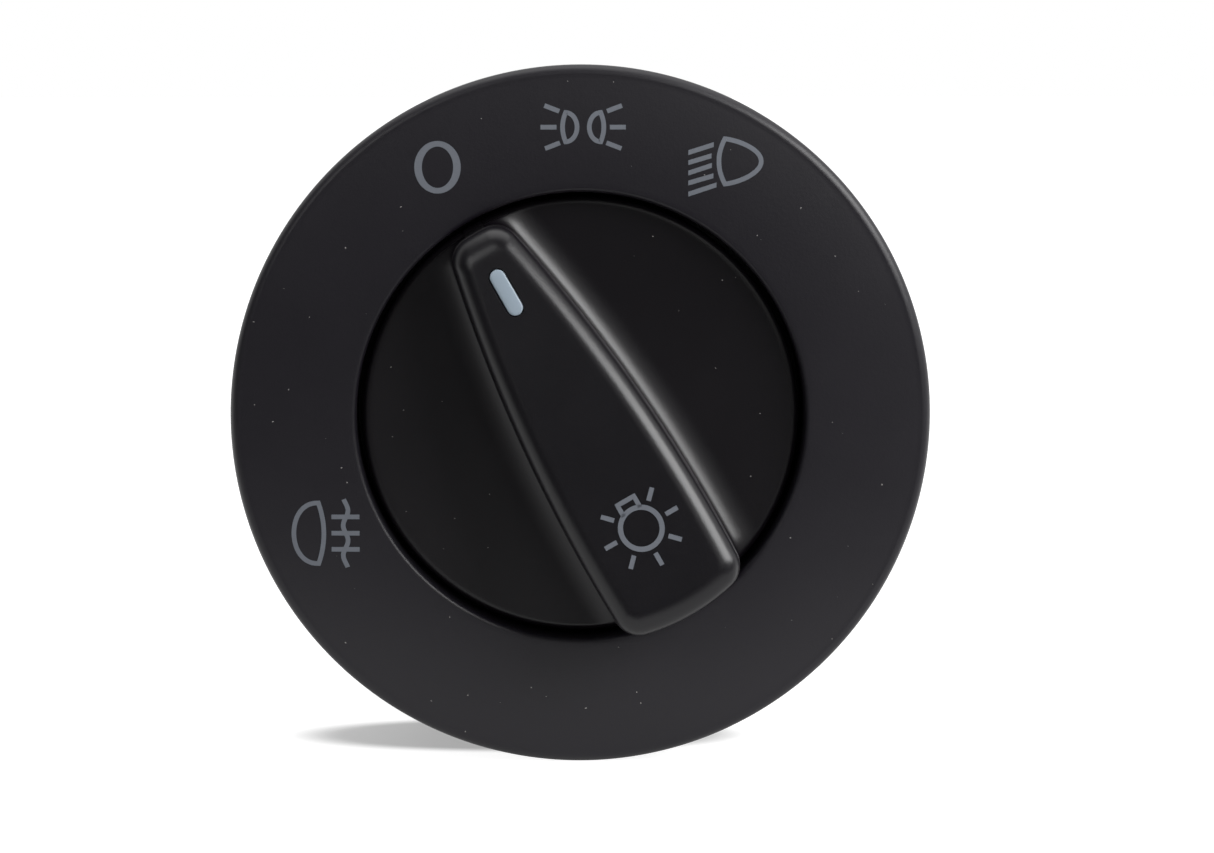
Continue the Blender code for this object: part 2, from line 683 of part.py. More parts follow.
def housing():
    """Moulded barrel: front flange, partition with the rotor's bearing, and the rear barrel."""
    ring_seat = BEARING_RADIUS + RING_SEAT_WALL
    profile = [
        (BARREL_INNER, FLANGE_THICKNESS),
        (GUIDE_OUTER, FLANGE_THICKNESS),
        (GUIDE_OUTER, 0.0),
        (BARREL_RADIUS, 0.0),
        (BARREL_RADIUS, PARTITION_REAR),
        (REAR_BARREL_RADIUS, PARTITION_REAR),
        (REAR_BARREL_RADIUS, HOUSING_REAR),
        (PLATE_RADIUS + GAP, HOUSING_REAR),
        (PLATE_RADIUS + GAP, PLATE_FRONT + GAP),
        (REAR_INNER, PLATE_FRONT + GAP),
        (REAR_INNER, PARTITION_REAR),
        (BEARING_BORE, PARTITION_REAR),
        (BEARING_BORE, BEARING_FRONT),
        (BEARING_RADIUS, BEARING_FRONT),
        (BEARING_RADIUS, RING_SEAT),
        (ring_seat, RING_SEAT),
        (ring_seat, PARTITION_FRONT),
        (BARREL_INNER, PARTITION_FRONT),
    ]
    made = turned("housing", profile, PLAIN_STEPS, FACE, GREY)
    # Windows for the bezel's hooks
    hook_top = TAB_END + TAB_HOOK_HEIGHT
    for clock in TAB_CLOCKS:
        cut(made, box(
            f"hook_window_{clock}",
            (TAB_WIDTH + 1.0, 2 * BARREL_WALL + 2.0, TAB_HOOK_HEIGHT + 2 * GAP),
            (0, BARREL_RADIUS, hook_top - TAB_HOOK_HEIGHT / 2), FACE, clock=clock,
        ))
    # Lugs that the rear cover's tongues snap over
    lug = [
        (REAR_BARREL_RADIUS - BURY, LUG_REAR + LUG_LENGTH + BURY),
        (REAR_BARREL_RADIUS - BURY, LUG_REAR - BURY),
        (REAR_BARREL_RADIUS + 0.3, LUG_REAR),
        (REAR_BARREL_RADIUS + LUG_HEIGHT, LUG_REAR + LUG_LENGTH - 0.5),
        (REAR_BARREL_RADIUS + LUG_HEIGHT, LUG_REAR + LUG_LENGTH),
        (REAR_BARREL_RADIUS, LUG_REAR + LUG_LENGTH),
    ]
    for clock in TAB_CLOCKS:
        holder = empty(f"lug_place_{clock}", FACE, turn=90.0 - clock)
        join(made, upright_plate(f"lug_{clock}", lug, LUG_WIDTH, holder))
    # Ribs under the circuit board
    for clock in BOARD_RIB_CLOCKS:
        low, high = PARTITION_FRONT - BURY, BOARD_REAR - GAP
        join(made, box(
            f"board_rib_{clock}", (1.4, BARREL_WALL / 2 + 2.4, high - low),
            (0, BARREL_INNER + BARREL_WALL / 4 - 1.2, (low + high) / 2), FACE, clock=clock,
        ))
    # Key that fits the notch in the panel's hole
    join(made, box(
        "panel_key", (PANEL_KEY_WIDTH, PANEL_KEY_HEIGHT + BURY, PANEL_KEY_LENGTH + BURY),
        (0, BARREL_RADIUS + (PANEL_KEY_HEIGHT - BURY) / 2, (BURY - PANEL_KEY_LENGTH) / 2), FACE,
    ))
    # Slots, guide ribs and spring posts of the two latches
    slot_front = -PANEL_THICKNESS + INLAY
    slot_rear = LATCH_REAR - GAP + INLAY
    rib_front = LATCH_FRONT - INLAY - 0.1
    for clock in (90, 270):
        cut(made, box(
            f"latch_slot_{clock}",
            (LATCH_WIDTH + 2 * GAP, 2 * BARREL_WALL + 2.0, slot_front - slot_rear),
            (0, BARREL_RADIUS, (slot_front + slot_rear) / 2), FACE, clock=clock,
        ))
        for side in (-1, 1):
            rib_outer = BARREL_INNER + BARREL_WALL / 2
            rib_inner = LATCH_INNER - LATCH_TRAVEL + 1.6
            join(made, box(
                f"latch_rib_{clock}_{side}",
                (1.2, rib_outer - rib_inner, rib_front - PARTITION_FRONT + BURY),
                (side * (LATCH_WIDTH / 2 + GAP + 0.6), (rib_outer + rib_inner) / 2,
                 (rib_front + PARTITION_FRONT - BURY) / 2),
                FACE, clock=clock,
            ))
        join(made, box(
            f"spring_post_{clock}",
            (LATCH_WINDOW_WIDTH - 2 * GAP, LATCH_POST, rib_front - PARTITION_FRONT + BURY),
            (0, POST_INNER + LATCH_POST / 2, (rib_front + PARTITION_FRONT - BURY) / 2),
            FACE, clock=clock,
        ))
    # Stops for the rotor's lug, which rests a little clear of them at both ends of its turn
    stop_radius = DRUM_RADIUS + STOP_HEIGHT
    clear = math.degrees(GAP / stop_radius)
    for turn in (-(STOP_SPAN + clear), 2 * DETENT_STEP + STOP_SPAN + clear):
        outline = sector(DRUM_RADIUS + GAP + 0.2, REAR_INNER + BURY, 60.0 + turn, STOP_SPAN, 2)
        low = STOP_FRONT - STOP_LENGTH
        join(made, plate(f"rotor_stop_{turn:.0f}", [outline], low, PARTITION_REAR + BURY, FACE))
    # Posts that hold the detent springs
    x, y = DETENT_POST_PLACE
    for place in ((x, y), (-x, y), (x, -y), (-x, -y)):
        join(made, rod(
            f"detent_post_{place[0]:.0f}_{place[1]:.0f}", DETENT_POST,
            PARTITION_REAR - DETENT_POST_LENGTH, PARTITION_REAR + BURY, FACE,
            segments=8, place=place,
        ))
    # Holes for the pins to the circuit board
    for name, clock in PIN_CLOCKS.items():
        cut(made, box(
            f"{name}_hole", (PIN_SIZE + 2 * GAP, PIN_SIZE + 2 * GAP, PARTITION_WALL + 2.0),
            (0, PIN_RADIUS, PARTITION_FRONT - PARTITION_WALL / 2), FACE, clock=clock,
        ))
    return made


def circuit_board():
    made = turned("circuit_board", [
        (BOARD_BORE, BOARD_FRONT),
        (BOARD_RADIUS, BOARD_FRONT),
        (BOARD_RADIUS, BOARD_REAR),
        (BOARD_BORE, BOARD_REAR),
    ], PLAIN_STEPS, FACE, BOARD)
    middle = (BOARD_FRONT + BOARD_REAR) / 2
    notch = LATCH_REACH - LATCH_NOSE - LATCH_TRAVEL - GAP - 0.2
    for clock in (90, 270):
        cut(made, box(
            f"board_notch_{clock}", (LATCH_WIDTH + 2 * GAP + 0.6, 6.0, BOARD_THICKNESS + 2.0),
            (0, notch + 3.0, middle), FACE, clock=clock,
        ))
    for name, clock in PIN_CLOCKS.items():
        cut(made, box(
            f"{name}_board_hole", (PIN_SIZE + 2 * GAP, PIN_SIZE + 2 * GAP, BOARD_THICKNESS + 2.0),
            (0, PIN_RADIUS, middle), FACE, clock=clock,
        ))
    for name, clock in LAMP_CLOCKS.items():
        box(name, (LAMP_LENGTH, LAMP_WIDTH, LAMP_HEIGHT),
            (0, LAMP_RADIUS, BOARD_FRONT + INLAY + LAMP_HEIGHT / 2), FACE, LAMP, clock=clock)
    return made


def knob():
    """Dished disc with its skirt, the grip's lower walls, the splined hub and clutch fingers."""
    rim = DISC_RADIUS - DISC_EDGE
    start = HUB_BORE - 0.7
    profile = []
    for i in range(4):
        r = start + (rim - start) * i / 3
        profile.append((r, disc_top(r)))
    half = DISC_EDGE * math.sqrt(0.5)
    profile += [
        (rim + half, DISC_HEIGHT - DISC_EDGE + half),
        (DISC_RADIUS, DISC_HEIGHT - DISC_EDGE),
        (DISC_RADIUS, KNOB_SKIRT_END),
        (DISC_RADIUS - KNOB_SKIRT_WALL, KNOB_SKIRT_END),
        (DISC_RADIUS - KNOB_SKIRT_WALL, DISC_UNDERSIDE),
        (start, DISC_UNDERSIDE),
    ]
    made = turned("knob", profile, FINE_STEPS, KNOB_AXIS, BLACK)
    join(made, grip_body())
    spigot_start = HUB_END + SPIGOT_LENGTH
    join(made, turned("hub", [
        (start, DISC_UNDERSIDE + BURY),
        (HUB_RADIUS, DISC_UNDERSIDE + BURY),
        (HUB_RADIUS, spigot_start),
        (SPIGOT_RADIUS, spigot_start),
        (SPIGOT_RADIUS, HUB_END),
        (start, HUB_END),
    ], SMALL_STEPS, KNOB_AXIS))
    for side in (-1, 1):
        high = DISC_UNDERSIDE + BURY
        join(made, box(
            f"spline_{side}", (SPLINE_WIDTH, SPLINE_HEIGHT + BURY, high - SPLINE_END),
            (0, side * (HUB_RADIUS + (SPLINE_HEIGHT - BURY) / 2), (high + SPLINE_END) / 2), KNOB_AXIS,
        ))
        outline = sector(CLUTCH_INNER, CLUTCH_INNER + CLUTCH_WALL, side * 90 - REST_CLOCK, CLUTCH_SPAN, 3)
        join(made, plate(f"clutch_{side}", [outline], CLUTCH_END, DISC_UNDERSIDE + BURY, KNOB_AXIS))
    cut(made, rod("hub_bore", HUB_BORE, HUB_END - 1.0, POCKET_FLOOR + 1.0, KNOB_AXIS, segments=SMALL_STEPS))
    return made


def grip_body():
    """Lower part of the grip: a cove at its foot, drafted walls, the seam's ledge and the inner rim."""
    rings = []

    def add(points, height):
        rings.append([(x, y, height(x, y)) for x, y in points])

    def seam(x, y):
        return grip_top(y) - CAP_EDGE_HEIGHT - SEAM

    def flat(level):
        return lambda x, y: level

    def cove_height(share):
        return lambda x, y: disc_top(math.hypot(x, y)) + COVE_HEIGHT * (1 - math.cos(share))

    steps = [math.radians(17 + (90 - 17) * i / 3) for i in range(4)]
    foot = GRIP_DRAFT + COVE_WIDTH * (1 - math.sin(steps[0]))
    add(grip_ring(spread=foot), flat(DISC_UNDERSIDE + BURY))
    for share in steps:
        add(grip_ring(spread=GRIP_DRAFT + COVE_WIDTH * (1 - math.sin(share))), cove_height(share))
    add(grip_ring(), seam)
    ledge = CAP_INSET + CAP_WALL + GAP
    rim = ledge + GRIP_RIM_WALL
    edge = [point[2] for point in rings[-1]]
    for inset, rise in ((ledge, 0.0), (ledge, GRIP_RIM_HEIGHT), (rim, GRIP_RIM_HEIGHT)):
        rings.append([(x, y, z + rise) for (x, y), z in zip(inner_ring(inset), edge)])
    add(inner_ring(rim), flat(POCKET_FLOOR))
    return loft("grip_body", rings, KNOB_AXIS)


def inner_ring(inset, end=0.0):
    return grip_ring(-inset, GRIP_END_RADIUS - inset - end, max(GRIP_CORNER - inset, 0.5))


def grip_cap():
    """Top of the grip: an open skin that rolls over its shoulders, given a wall."""
    seam = CAP_EDGE_HEIGHT
    rings = [[(x, y, grip_top(y) - seam) for x, y in inner_ring(CAP_INSET)]]
    for i in range(5):
        angle = math.pi / 2 * i / 4
        side = CAP_INSET + CAP_SHOULDER * (1 - math.cos(angle))
        end = (CAP_END_SHOULDER - CAP_SHOULDER) * (1 - math.cos(angle))
        drop = CAP_SHOULDER * (1 - math.sin(angle))
        rings.append([(x, y, grip_top(y) - drop) for x, y in inner_ring(side, end)])
    made = loft("grip_cap", rings, KNOB_AXIS, SATIN, closed=False)
    wall = made.modifiers.new("Wall", "SOLIDIFY")
    wall.thickness = CAP_WALL * MM
    wall.offset = -1.0
    wall.use_even_offset = True
    place = empty("pointer_place", KNOB_AXIS, (0, POINTER_PLACE, grip_top(POINTER_PLACE)))
    place.rotation_euler.x = -math.atan(GRIP_SLOPE)
    cut(made, plate(
        "pointer_slot", [stadium(POINTER_LENGTH, POINTER_WIDTH, 6)], -CAP_WALL - 1.0, 1.0, place,
    ))
    window = stadium(POINTER_LENGTH - 2 * SEAM, POINTER_WIDTH - 2 * SEAM, 6)
    plate("pointer_window", [window], -POINTER_DEPTH, 0.0, place, WHITE)
    return made


def knob_light_guide():
    """Clear rod in the hub with a paddle that follows the cap's slope."""
    inset = CAP_INSET + CAP_WALL + GAP + GRIP_RIM_WALL + GAP
    outline = inner_ring(inset, PADDLE_END)
    top = POINTER_DEPTH + GAP + 0.1
    rings = []
    for drop in (top + PADDLE_THICKNESS, top):
        rings.append([(x, y, grip_top(y) - drop) for x, y in outline])
    made = loft("knob_light_guide", rings, KNOB_AXIS, CLEAR)
    join(made, rod(
        "guide_rod", HUB_BORE - GAP, HUB_END + 0.7, grip_top(0) - top - 0.5, KNOB_AXIS, segments=16,
    ))
    return made


def rotor():
    """Drum with its journal, the hub's keyed bore, detent scallops, stop lug and wiper pockets."""
    made = turned("rotor", [
        (ROTOR_BORE, BEARING_FRONT),
        (JOURNAL_RADIUS, BEARING_FRONT),
        (JOURNAL_RADIUS, DRUM_FRONT),
        (DRUM_RADIUS, DRUM_FRONT),
        (DRUM_RADIUS, DRUM_REAR),
        (DRUM_BORE, DRUM_REAR),
        (DRUM_BORE, JOURNAL_BORE_END),
        (ROTOR_BORE, JOURNAL_BORE_END),
    ], PLAIN_STEPS, ROTOR_AXIS, NATURAL)
    lug = sector(DRUM_RADIUS - BURY, DRUM_RADIUS + STOP_HEIGHT, 60.0, STOP_SPAN, 2)
    join(made, plate("stop_lug", [lug], STOP_FRONT - STOP_LENGTH, STOP_FRONT, ROTOR_AXIS))
    for side in (-1, 1):
        reach = HUB_RADIUS + SPLINE_HEIGHT + GAP
        cut(made, box(
            f"keyway_{side}", (SPLINE_WIDTH + 2 * GAP, reach - 2.0, BEARING_FRONT - JOURNAL_BORE_END + 2.0),
            (0, side * (reach + 2.0) / 2, (BEARING_FRONT + JOURNAL_BORE_END) / 2),
            ROTOR_AXIS, clock=REST_CLOCK,
        ))
        for step in range(3):
            clock = -step * DETENT_STEP + (0 if side > 0 else 180)
            place = polar(DRUM_RADIUS - SCALLOP_DEPTH + SCALLOP_RADIUS, clock)
            cut(made, rod(
                f"scallop_{clock:.0f}", SCALLOP_RADIUS, DRUM_REAR - 1.0, DRUM_FRONT + 0.15,
                ROTOR_AXIS, segments=12, place=place,
            ))
    for name, (radius, clock) in WIPER_PLACES.items():
        cut(made, box(
            f"{name}_pocket", (WIPER_LENGTH + 2 * GAP, WIPER_WIDTH + 2 * GAP, 2 * WIPER_POCKET),
            (0, radius, DRUM_REAR), ROTOR_AXIS, clock=clock,
        ))
        wiper(name, radius, clock)
    return made


def wiper(name, radius, clock):
    """A bent bridge of brass in a pocket of the rotor, with two points towards its track."""
    high = DRUM_REAR + WIPER_POCKET - GAP - WIPER_STOCK / 2
    low = TRACK_FRONT + GAP + WIPER_STOCK / 2
    half = WIPER_LENGTH / 2 - 0.2
    points = [(-half, high), (-half + 1.4, low), (-half + 2.8, high)]
    points += [(-x, z) for x, z in reversed(points)]
    holder = empty(f"{name}_place", ROTOR_AXIS, turn=-clock)
    made = strip(name, points, WIPER_WIDTH, WIPER_STOCK, holder, BRASS)
    made.rotation_euler.x = math.radians(90)
    made.location = Vector((0, radius, 0)) * MM
    return made


def detent_springs():
    """Leaf springs held by two posts each, with their noses in the rotor's scallops."""
    x, y = DETENT_POST_PLACE
    nose = DRUM_RADIUS - SCALLOP_DEPTH + GAP + DETENT_STOCK / 2
    under = y - DETENT_POST - GAP - DETENT_STOCK / 2
    outside = x + DETENT_POST + GAP + DETENT_STOCK / 2
    half = [
        (0.55, nose), (1.3, nose + 0.75), (2.6, under - 0.7),
        (3.6, under - 0.1), (outside - 0.5, under), (outside, under + 0.5), (outside, y + 0.4),
    ]
    points = [(-px, py) for px, py in reversed(half)] + half
    for name, turn in (("detent_spring_top", 0.0), ("detent_spring_bottom", 180.0)):
        holder = empty(f"{name}_place", FACE, (0, 0, DETENT_FRONT - DETENT_WIDTH / 2), turn)
        strip(name, points, DETENT_WIDTH, DETENT_STOCK, holder, STEEL)


def terminal_places():
    middle = (TERMINAL_COLUMNS - 1) / 2
    places = []
    for row in (TERMINAL_ROW, -TERMINAL_ROW):
        for column in range(TERMINAL_COLUMNS):
            places.append(((column - middle) * TERMINAL_PITCH, row))
    return places


def contact_plate():
    """Plate with the tracks, the fog contacts and the knob's lamp in front and terminals behind."""
    made = turned("contact_plate", [
        (1.0, PLATE_FRONT),
        (PLATE_RADIUS, PLATE_FRONT),
        (PLATE_RADIUS, PLATE_REAR),
        (1.0, PLATE_REAR),
    ], PLAIN_STEPS, FACE, NATURAL)
    for i, (x, y) in enumerate(terminal_places(), 1):
        cut(made, box(
            f"terminal_{i}_socket",
            (TERMINAL_WIDTH + 2 * INLAY, TERMINAL_THICKNESS + 2 * INLAY, 2 * TERMINAL_ROOT),
            (x, y, PLATE_REAR), FACE,
        ))
        high = PLATE_REAR + TERMINAL_ROOT - INLAY
        box(f"terminal_{i}", (TERMINAL_WIDTH, TERMINAL_THICKNESS, high - TERMINAL_END),
            (x, y, (high + TERMINAL_END) / 2), FACE, TINNED)
    for name, clock in PIN_CLOCKS.items():
        cut(made, box(
            f"{name}_plate_hole", (PIN_SIZE + 2 * INLAY, PIN_SIZE + 2 * INLAY, PLATE_THICKNESS + 2.0),
            (0, PIN_RADIUS, (PLATE_FRONT + PLATE_REAR) / 2), FACE, clock=clock,
        ))
        low, high = PLATE_REAR + 0.2, BOARD_FRONT + 0.5
        box(name, (PIN_SIZE, PIN_SIZE, high - low), (0, PIN_RADIUS, (low + high) / 2),
            FACE, TINNED, clock=clock)
    tracks = {"track_parking": "wiper_1", "track_beam": "wiper_2", "track_common": "wiper_3"}
    for name, rider in tracks.items():
        radius, clock = WIPER_PLACES[rider]
        half = TRACK_WIDTH / 2
        span = 2 * DETENT_STEP + 2 * math.degrees(WIPER_LENGTH / 2 / radius)
        outline = sector(radius - half, radius + half, clock + DETENT_STEP, span, 6)
        plate(name, [outline], PLATE_FRONT + INLAY, TRACK_FRONT, FACE, BRASS)
    box("led_knob", (KNOB_LAMP_WIDTH, KNOB_LAMP_WIDTH, KNOB_LAMP_HEIGHT),
        (0, 0, PLATE_FRONT + INLAY + KNOB_LAMP_HEIGHT / 2), FACE, LAMP)
    return made


def fog_contacts():
    """Sprung fingers on the plate that the ring on the hub meets while the knob isn't pulled."""
    top = HUB_END + SPIGOT_LENGTH - INLAY - PULL_RING_THICKNESS - INLAY
    turned("pull_contact", [
        (SPIGOT_RADIUS + INLAY, top + PULL_RING_THICKNESS),
        (PULL_RING_RADIUS, top + PULL_RING_THICKNESS),
        (PULL_RING_RADIUS, top),
        (SPIGOT_RADIUS + INLAY, top),
    ], SMALL_STEPS, KNOB_AXIS, BRASS)
    radius = (SPIGOT_RADIUS + INLAY + PULL_RING_RADIUS) / 2
    low = PLATE_FRONT + INLAY + FOG_STOCK / 2
    high = top - GAP - FOG_STOCK / 2
    points = [(1.6, low), (-0.9, low), (-1.3, low + 0.6), (0.5, high), (1.3, high)]
    for name, clock in (("fog_contact_left", 270), ("fog_contact_right", 90)):
        holder = empty(f"{name}_place", FACE, turn=-clock)
        made = strip(name, points, FOG_WIDTH, FOG_STOCK, holder, BRASS)
        made.rotation_euler.x = math.radians(90)
        made.location = Vector((0, radius + 0.1, 0)) * MM


def rear_cover():
    """Lid with four snap tongues, slots for the terminals and the connector's shroud."""
    outer = REAR_BARREL_RADIUS + GAP + TONGUE_WALL
    made = turned("rear_cover", [
        (1.0, COVER_FRONT),
        (outer, COVER_FRONT),
        (outer, COVER_REAR),
        (1.0, COVER_REAR),
    ], PLAIN_STEPS, FACE, GREY)
    middle_plug = rod("cover_middle", 2.0, COVER_REAR + 0.2, COVER_FRONT - 0.2, FACE, segments=8)
    join(made, middle_plug)
    for clock in TAB_CLOCKS:
        inner = outer - TONGUE_WALL
        span = 2 * math.degrees(TONGUE_WIDTH / 2 / outer)
        outline = sector(inner, outer - 0.05, clock, span, 2)
        join(made, plate(f"tongue_{clock}", [outline], COVER_FRONT - BURY, TONGUE_END, FACE))
        cut(made, box(
            f"tongue_window_{clock}", (LUG_WIDTH + 2 * GAP, 4.0, LUG_LENGTH + 2 * GAP + BURY),
            (0, outer, LUG_REAR + (LUG_LENGTH - BURY) / 2), FACE, clock=clock,
        ))
    outer_walls = rounded_box(
        SHROUD_WIDTH + 2 * SHROUD_WALL, SHROUD_HEIGHT + 2 * SHROUD_WALL, SHROUD_CORNER + SHROUD_WALL, 3,
    )
    inner_walls = rounded_box(SHROUD_WIDTH, SHROUD_HEIGHT, SHROUD_CORNER, 3)
    join(made, plate("shroud", [outer_walls, inner_walls], SHROUD_END, COVER_REAR + BURY, FACE))
    # Ramp that the plug's latch catches behind, and two ribs that key the plug
    half = SHROUD_HEIGHT / 2 + SHROUD_WALL
    low = SHROUD_END + PLUG_RAMP_START
    top = low + PLUG_RAMP_RUN
    ramp = [
        (half - BURY, low),
        (half, low),
        (half + PLUG_RAMP_HEIGHT, top),
        (half + PLUG_RAMP_HEIGHT, top + PLUG_RAMP_LAND),
        (half - BURY, top + PLUG_RAMP_LAND),
    ]
    holder = empty("ramp_place", FACE, turn=90.0)
    join(made, upright_plate("plug_ramp", ramp, PLUG_RAMP_WIDTH, holder))
    low, high = SHROUD_END + PLUG_KEY_SETBACK, COVER_REAR + BURY
    for side in (-1, 1):
        join(made, box(
            f"plug_key_{side}", (PLUG_KEY_WIDTH, PLUG_KEY_HEIGHT + BURY, high - low),
            (side * (SHROUD_WIDTH / 2 - PLUG_KEY_INSET), -half - (PLUG_KEY_HEIGHT - BURY) / 2,
             (low + high) / 2), FACE,
        ))
    for i, (x, y) in enumerate(terminal_places(), 1):
        cut(made, box(
            f"terminal_{i}_slot",
            (TERMINAL_WIDTH + 2 * GAP, TERMINAL_THICKNESS + 2 * GAP, COVER_THICKNESS + 2.0),
            (x, y, (COVER_FRONT + COVER_REAR) / 2), FACE,
        ))
    return made


def release_ring():
    """Flat ring whose two spiral slots draw in the latch pins as it turns."""
    made = turned("release_ring", [
        (RING_BORE, RING_FRONT),
        (RING_RADIUS, RING_FRONT),
        (RING_RADIUS, RING_REAR),
        (RING_BORE, RING_REAR),
    ], PLAIN_STEPS, RING_AXIS, NATURAL)
    for side in (90, 270):
        outline = spiral_slot(side)
        cut(made, plate(f"spiral_slot_{side}", [outline], RING_REAR - 1.0, RING_FRONT + 1.0, RING_AXIS))
        notch = sector(
            RING_BORE - 1.0, CLUTCH_INNER + CLUTCH_WALL + GAP, side,
            CLUTCH_SPAN + 2 * math.degrees(GAP / CLUTCH_INNER), 4,
        )
        cut(made, plate(
            f"clutch_notch_{side}", [notch], RING_FRONT - RING_NOTCH_DEPTH, RING_FRONT + 1.0, RING_AXIS,
        ))
    return made


def spiral_slot(clock):
    """Outline at one clearance round the path that a latch pin takes in the turning ring."""
    half = LATCH_PIN_RADIUS + SLOT_CLEARANCE
    fall = LATCH_TRAVEL / RING_TURN

    def path(turn):
        return Vector(polar(LATCH_PIN_PLACE - fall * turn, clock - turn))

    def across(turn):
        ahead = path(turn + 0.5) - path(turn - 0.5)
        return Vector((-ahead.y, ahead.x)).normalized()

    steps, round_steps = 5, 4
    turns = [RING_TURN * i / steps for i in range(steps + 1)]
    outline = [path(t) + across(t) * half for t in turns]
    for end, sign in ((RING_TURN, 1), (0.0, -1)):
        side = across(end) * sign
        ahead = Vector((side.y, -side.x))
        for i in range(1, round_steps):
            angle = math.pi * i / round_steps
            outline.append(path(end) + (side * math.cos(angle) + ahead * math.sin(angle)) * half)
        if sign > 0:
            outline += [path(t) - across(t) * half for t in reversed(turns)]
    return [tuple(p) for p in outline]


def latches():
    """Latches with a pin for the release ring and a window for the spring on its post."""
    nose_inner = LATCH_REACH - LATCH_NOSE
    nose_front = -PANEL_THICKNESS - GAP + INLAY
    outline = [
        (LATCH_INNER, LATCH_REAR),
        (LATCH_INNER, LATCH_FRONT),
        (nose_inner, LATCH_FRONT),
        (nose_inner, nose_front),
        (LATCH_REACH - 0.3, nose_front),
        (LATCH_REACH, nose_front - 0.3),
        (LATCH_REACH, nose_front - 1.6),
        (BARREL_RADIUS + 0.3, LATCH_REAR + 1.0),
        (BARREL_RADIUS + 0.1, LATCH_REAR),
    ]
    for side, axis in LATCH_SIDES.items():
        made = upright_plate(f"latch_{side}", outline, LATCH_WIDTH, axis, NATURAL)
        window = (WINDOW_OUTER - WINDOW_INNER, LATCH_WINDOW_WIDTH, LATCH_THICKNESS + 2.0)
        cut(made, box(
            f"latch_window_{side}", window,
            ((WINDOW_INNER + WINDOW_OUTER) / 2, 0, (LATCH_FRONT + LATCH_REAR) / 2), axis,
        ))
        join(made, rod(
            f"latch_pin_{side}", LATCH_PIN_RADIUS, LATCH_FRONT - BURY, RING_FRONT - 0.4, axis,
            segments=16, place=(LATCH_PIN_PLACE, 0),
        ))
        spring = coil(
            f"latch_spring_{side}", LATCH_SPRING_RADIUS, LATCH_SPRING_WIRE, SPRING_INNER,
            SPRING_INNER + LATCH_SPRING_LENGTH, LATCH_SPRING_TURNS, 6,
            empty(f"latch_spring_{side}_place", FACE, turn=0.0 if side == "right" else 180.0), STEEL,
        )
        spring.rotation_euler.y = math.radians(90)
        spring.location.z = (LATCH_FRONT + LATCH_REAR) / 2 * MM


def return_spring():
    low = BEARING_FRONT + GAP
    high = DISC_UNDERSIDE - GAP
    return coil("return_spring", SPRING_RADIUS, SPRING_WIRE, low, high, SPRING_TURNS, 8, ROTOR_AXIS, STEEL)


def finish(obj):
    """Applies the modifiers and shades round surfaces smooth between crisp edges."""
    seen = obj.evaluated_get(bpy.context.evaluated_depsgraph_get())
    mesh = bpy.data.meshes.new_from_object(seen)
    mesh.name = obj.name
    obj.modifiers.clear()
    obj.data = mesh
    mesh.shade_smooth()
    mesh.set_sharp_from_angle(angle=math.radians(32))


bezel()
light_guide_ring()
housing()
circuit_board()
knob()
grip_cap()
knob_light_guide()
rotor()
detent_springs()
contact_plate()
fog_contacts()
rear_cover()
release_ring()
latches()
return_spring()
bpy.context.view_layer.update()
for part in [obj for obj in PARTS.objects if obj.type == "MESH"]:
    finish(part)
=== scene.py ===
"""Looks of a rotary headlight switch: finer pieces, finishes, floor, lights and camera.

Pieces are drawn in millimetres in the switch's face frame: x right, y up, z towards the driver,
with the panel's front at z = 0. FACE puts them in the CAD's frame, and KNOB also turns them to
where the knob rests. Clock angles run clockwise from the top, in degrees.
"""

import math

import bmesh
import bpy
from mathutils import Matrix, Vector


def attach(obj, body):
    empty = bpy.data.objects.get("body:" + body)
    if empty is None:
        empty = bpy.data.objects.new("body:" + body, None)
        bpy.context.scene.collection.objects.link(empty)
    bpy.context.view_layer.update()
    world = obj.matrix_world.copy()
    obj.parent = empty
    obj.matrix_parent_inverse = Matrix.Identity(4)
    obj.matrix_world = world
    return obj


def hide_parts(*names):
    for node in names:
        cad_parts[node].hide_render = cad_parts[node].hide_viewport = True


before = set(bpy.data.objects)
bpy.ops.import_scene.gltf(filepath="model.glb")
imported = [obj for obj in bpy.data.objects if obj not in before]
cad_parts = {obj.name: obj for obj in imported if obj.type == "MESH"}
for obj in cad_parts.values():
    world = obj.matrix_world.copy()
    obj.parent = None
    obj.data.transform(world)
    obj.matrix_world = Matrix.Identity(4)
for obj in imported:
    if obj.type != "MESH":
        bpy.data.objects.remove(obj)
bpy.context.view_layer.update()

MM = 0.001
KNOB_REST = 30
FACE = Matrix.Rotation(math.radians(90), 4, "X") @ Matrix.Scale(MM, 4)
KNOB = FACE @ Matrix.Rotation(math.radians(KNOB_REST), 4, "Z")
CREASE = math.radians(35)  # edges that bend more than this stay crisp
SAME_POINT = 0.0002 * MM  # points nearer than this are one

# Bezel
BEZEL_RADIUS, WELL_RADIUS, COLLAR_RADIUS, SEAT_RADIUS = 34.0, 21.75, 23.1, 32.5
FACE_INNER, FACE_OUTER, FACE_TOP, FACE_RISE = 22.25, 33.0, 4.9, 0.7
BEZEL_SIDE, WELL_EDGE, BEZEL_EDGE, BEZEL_FOOT = 3.2, 0.5, 1.0, 33.55
UNDERSIDE, COLLAR_END = 3.0, -5.2
TAB_INNER, TAB_OUTER, TAB_END, TAB_HALF_WIDTH = 25.3, 26.6, -4.6, 2.5
TAB_CLOCKS = (45, 135, 225, 315)
HOOK_REACH, HOOK_TOP, HOOK_LAND = 28.2, -3.3, 0.4

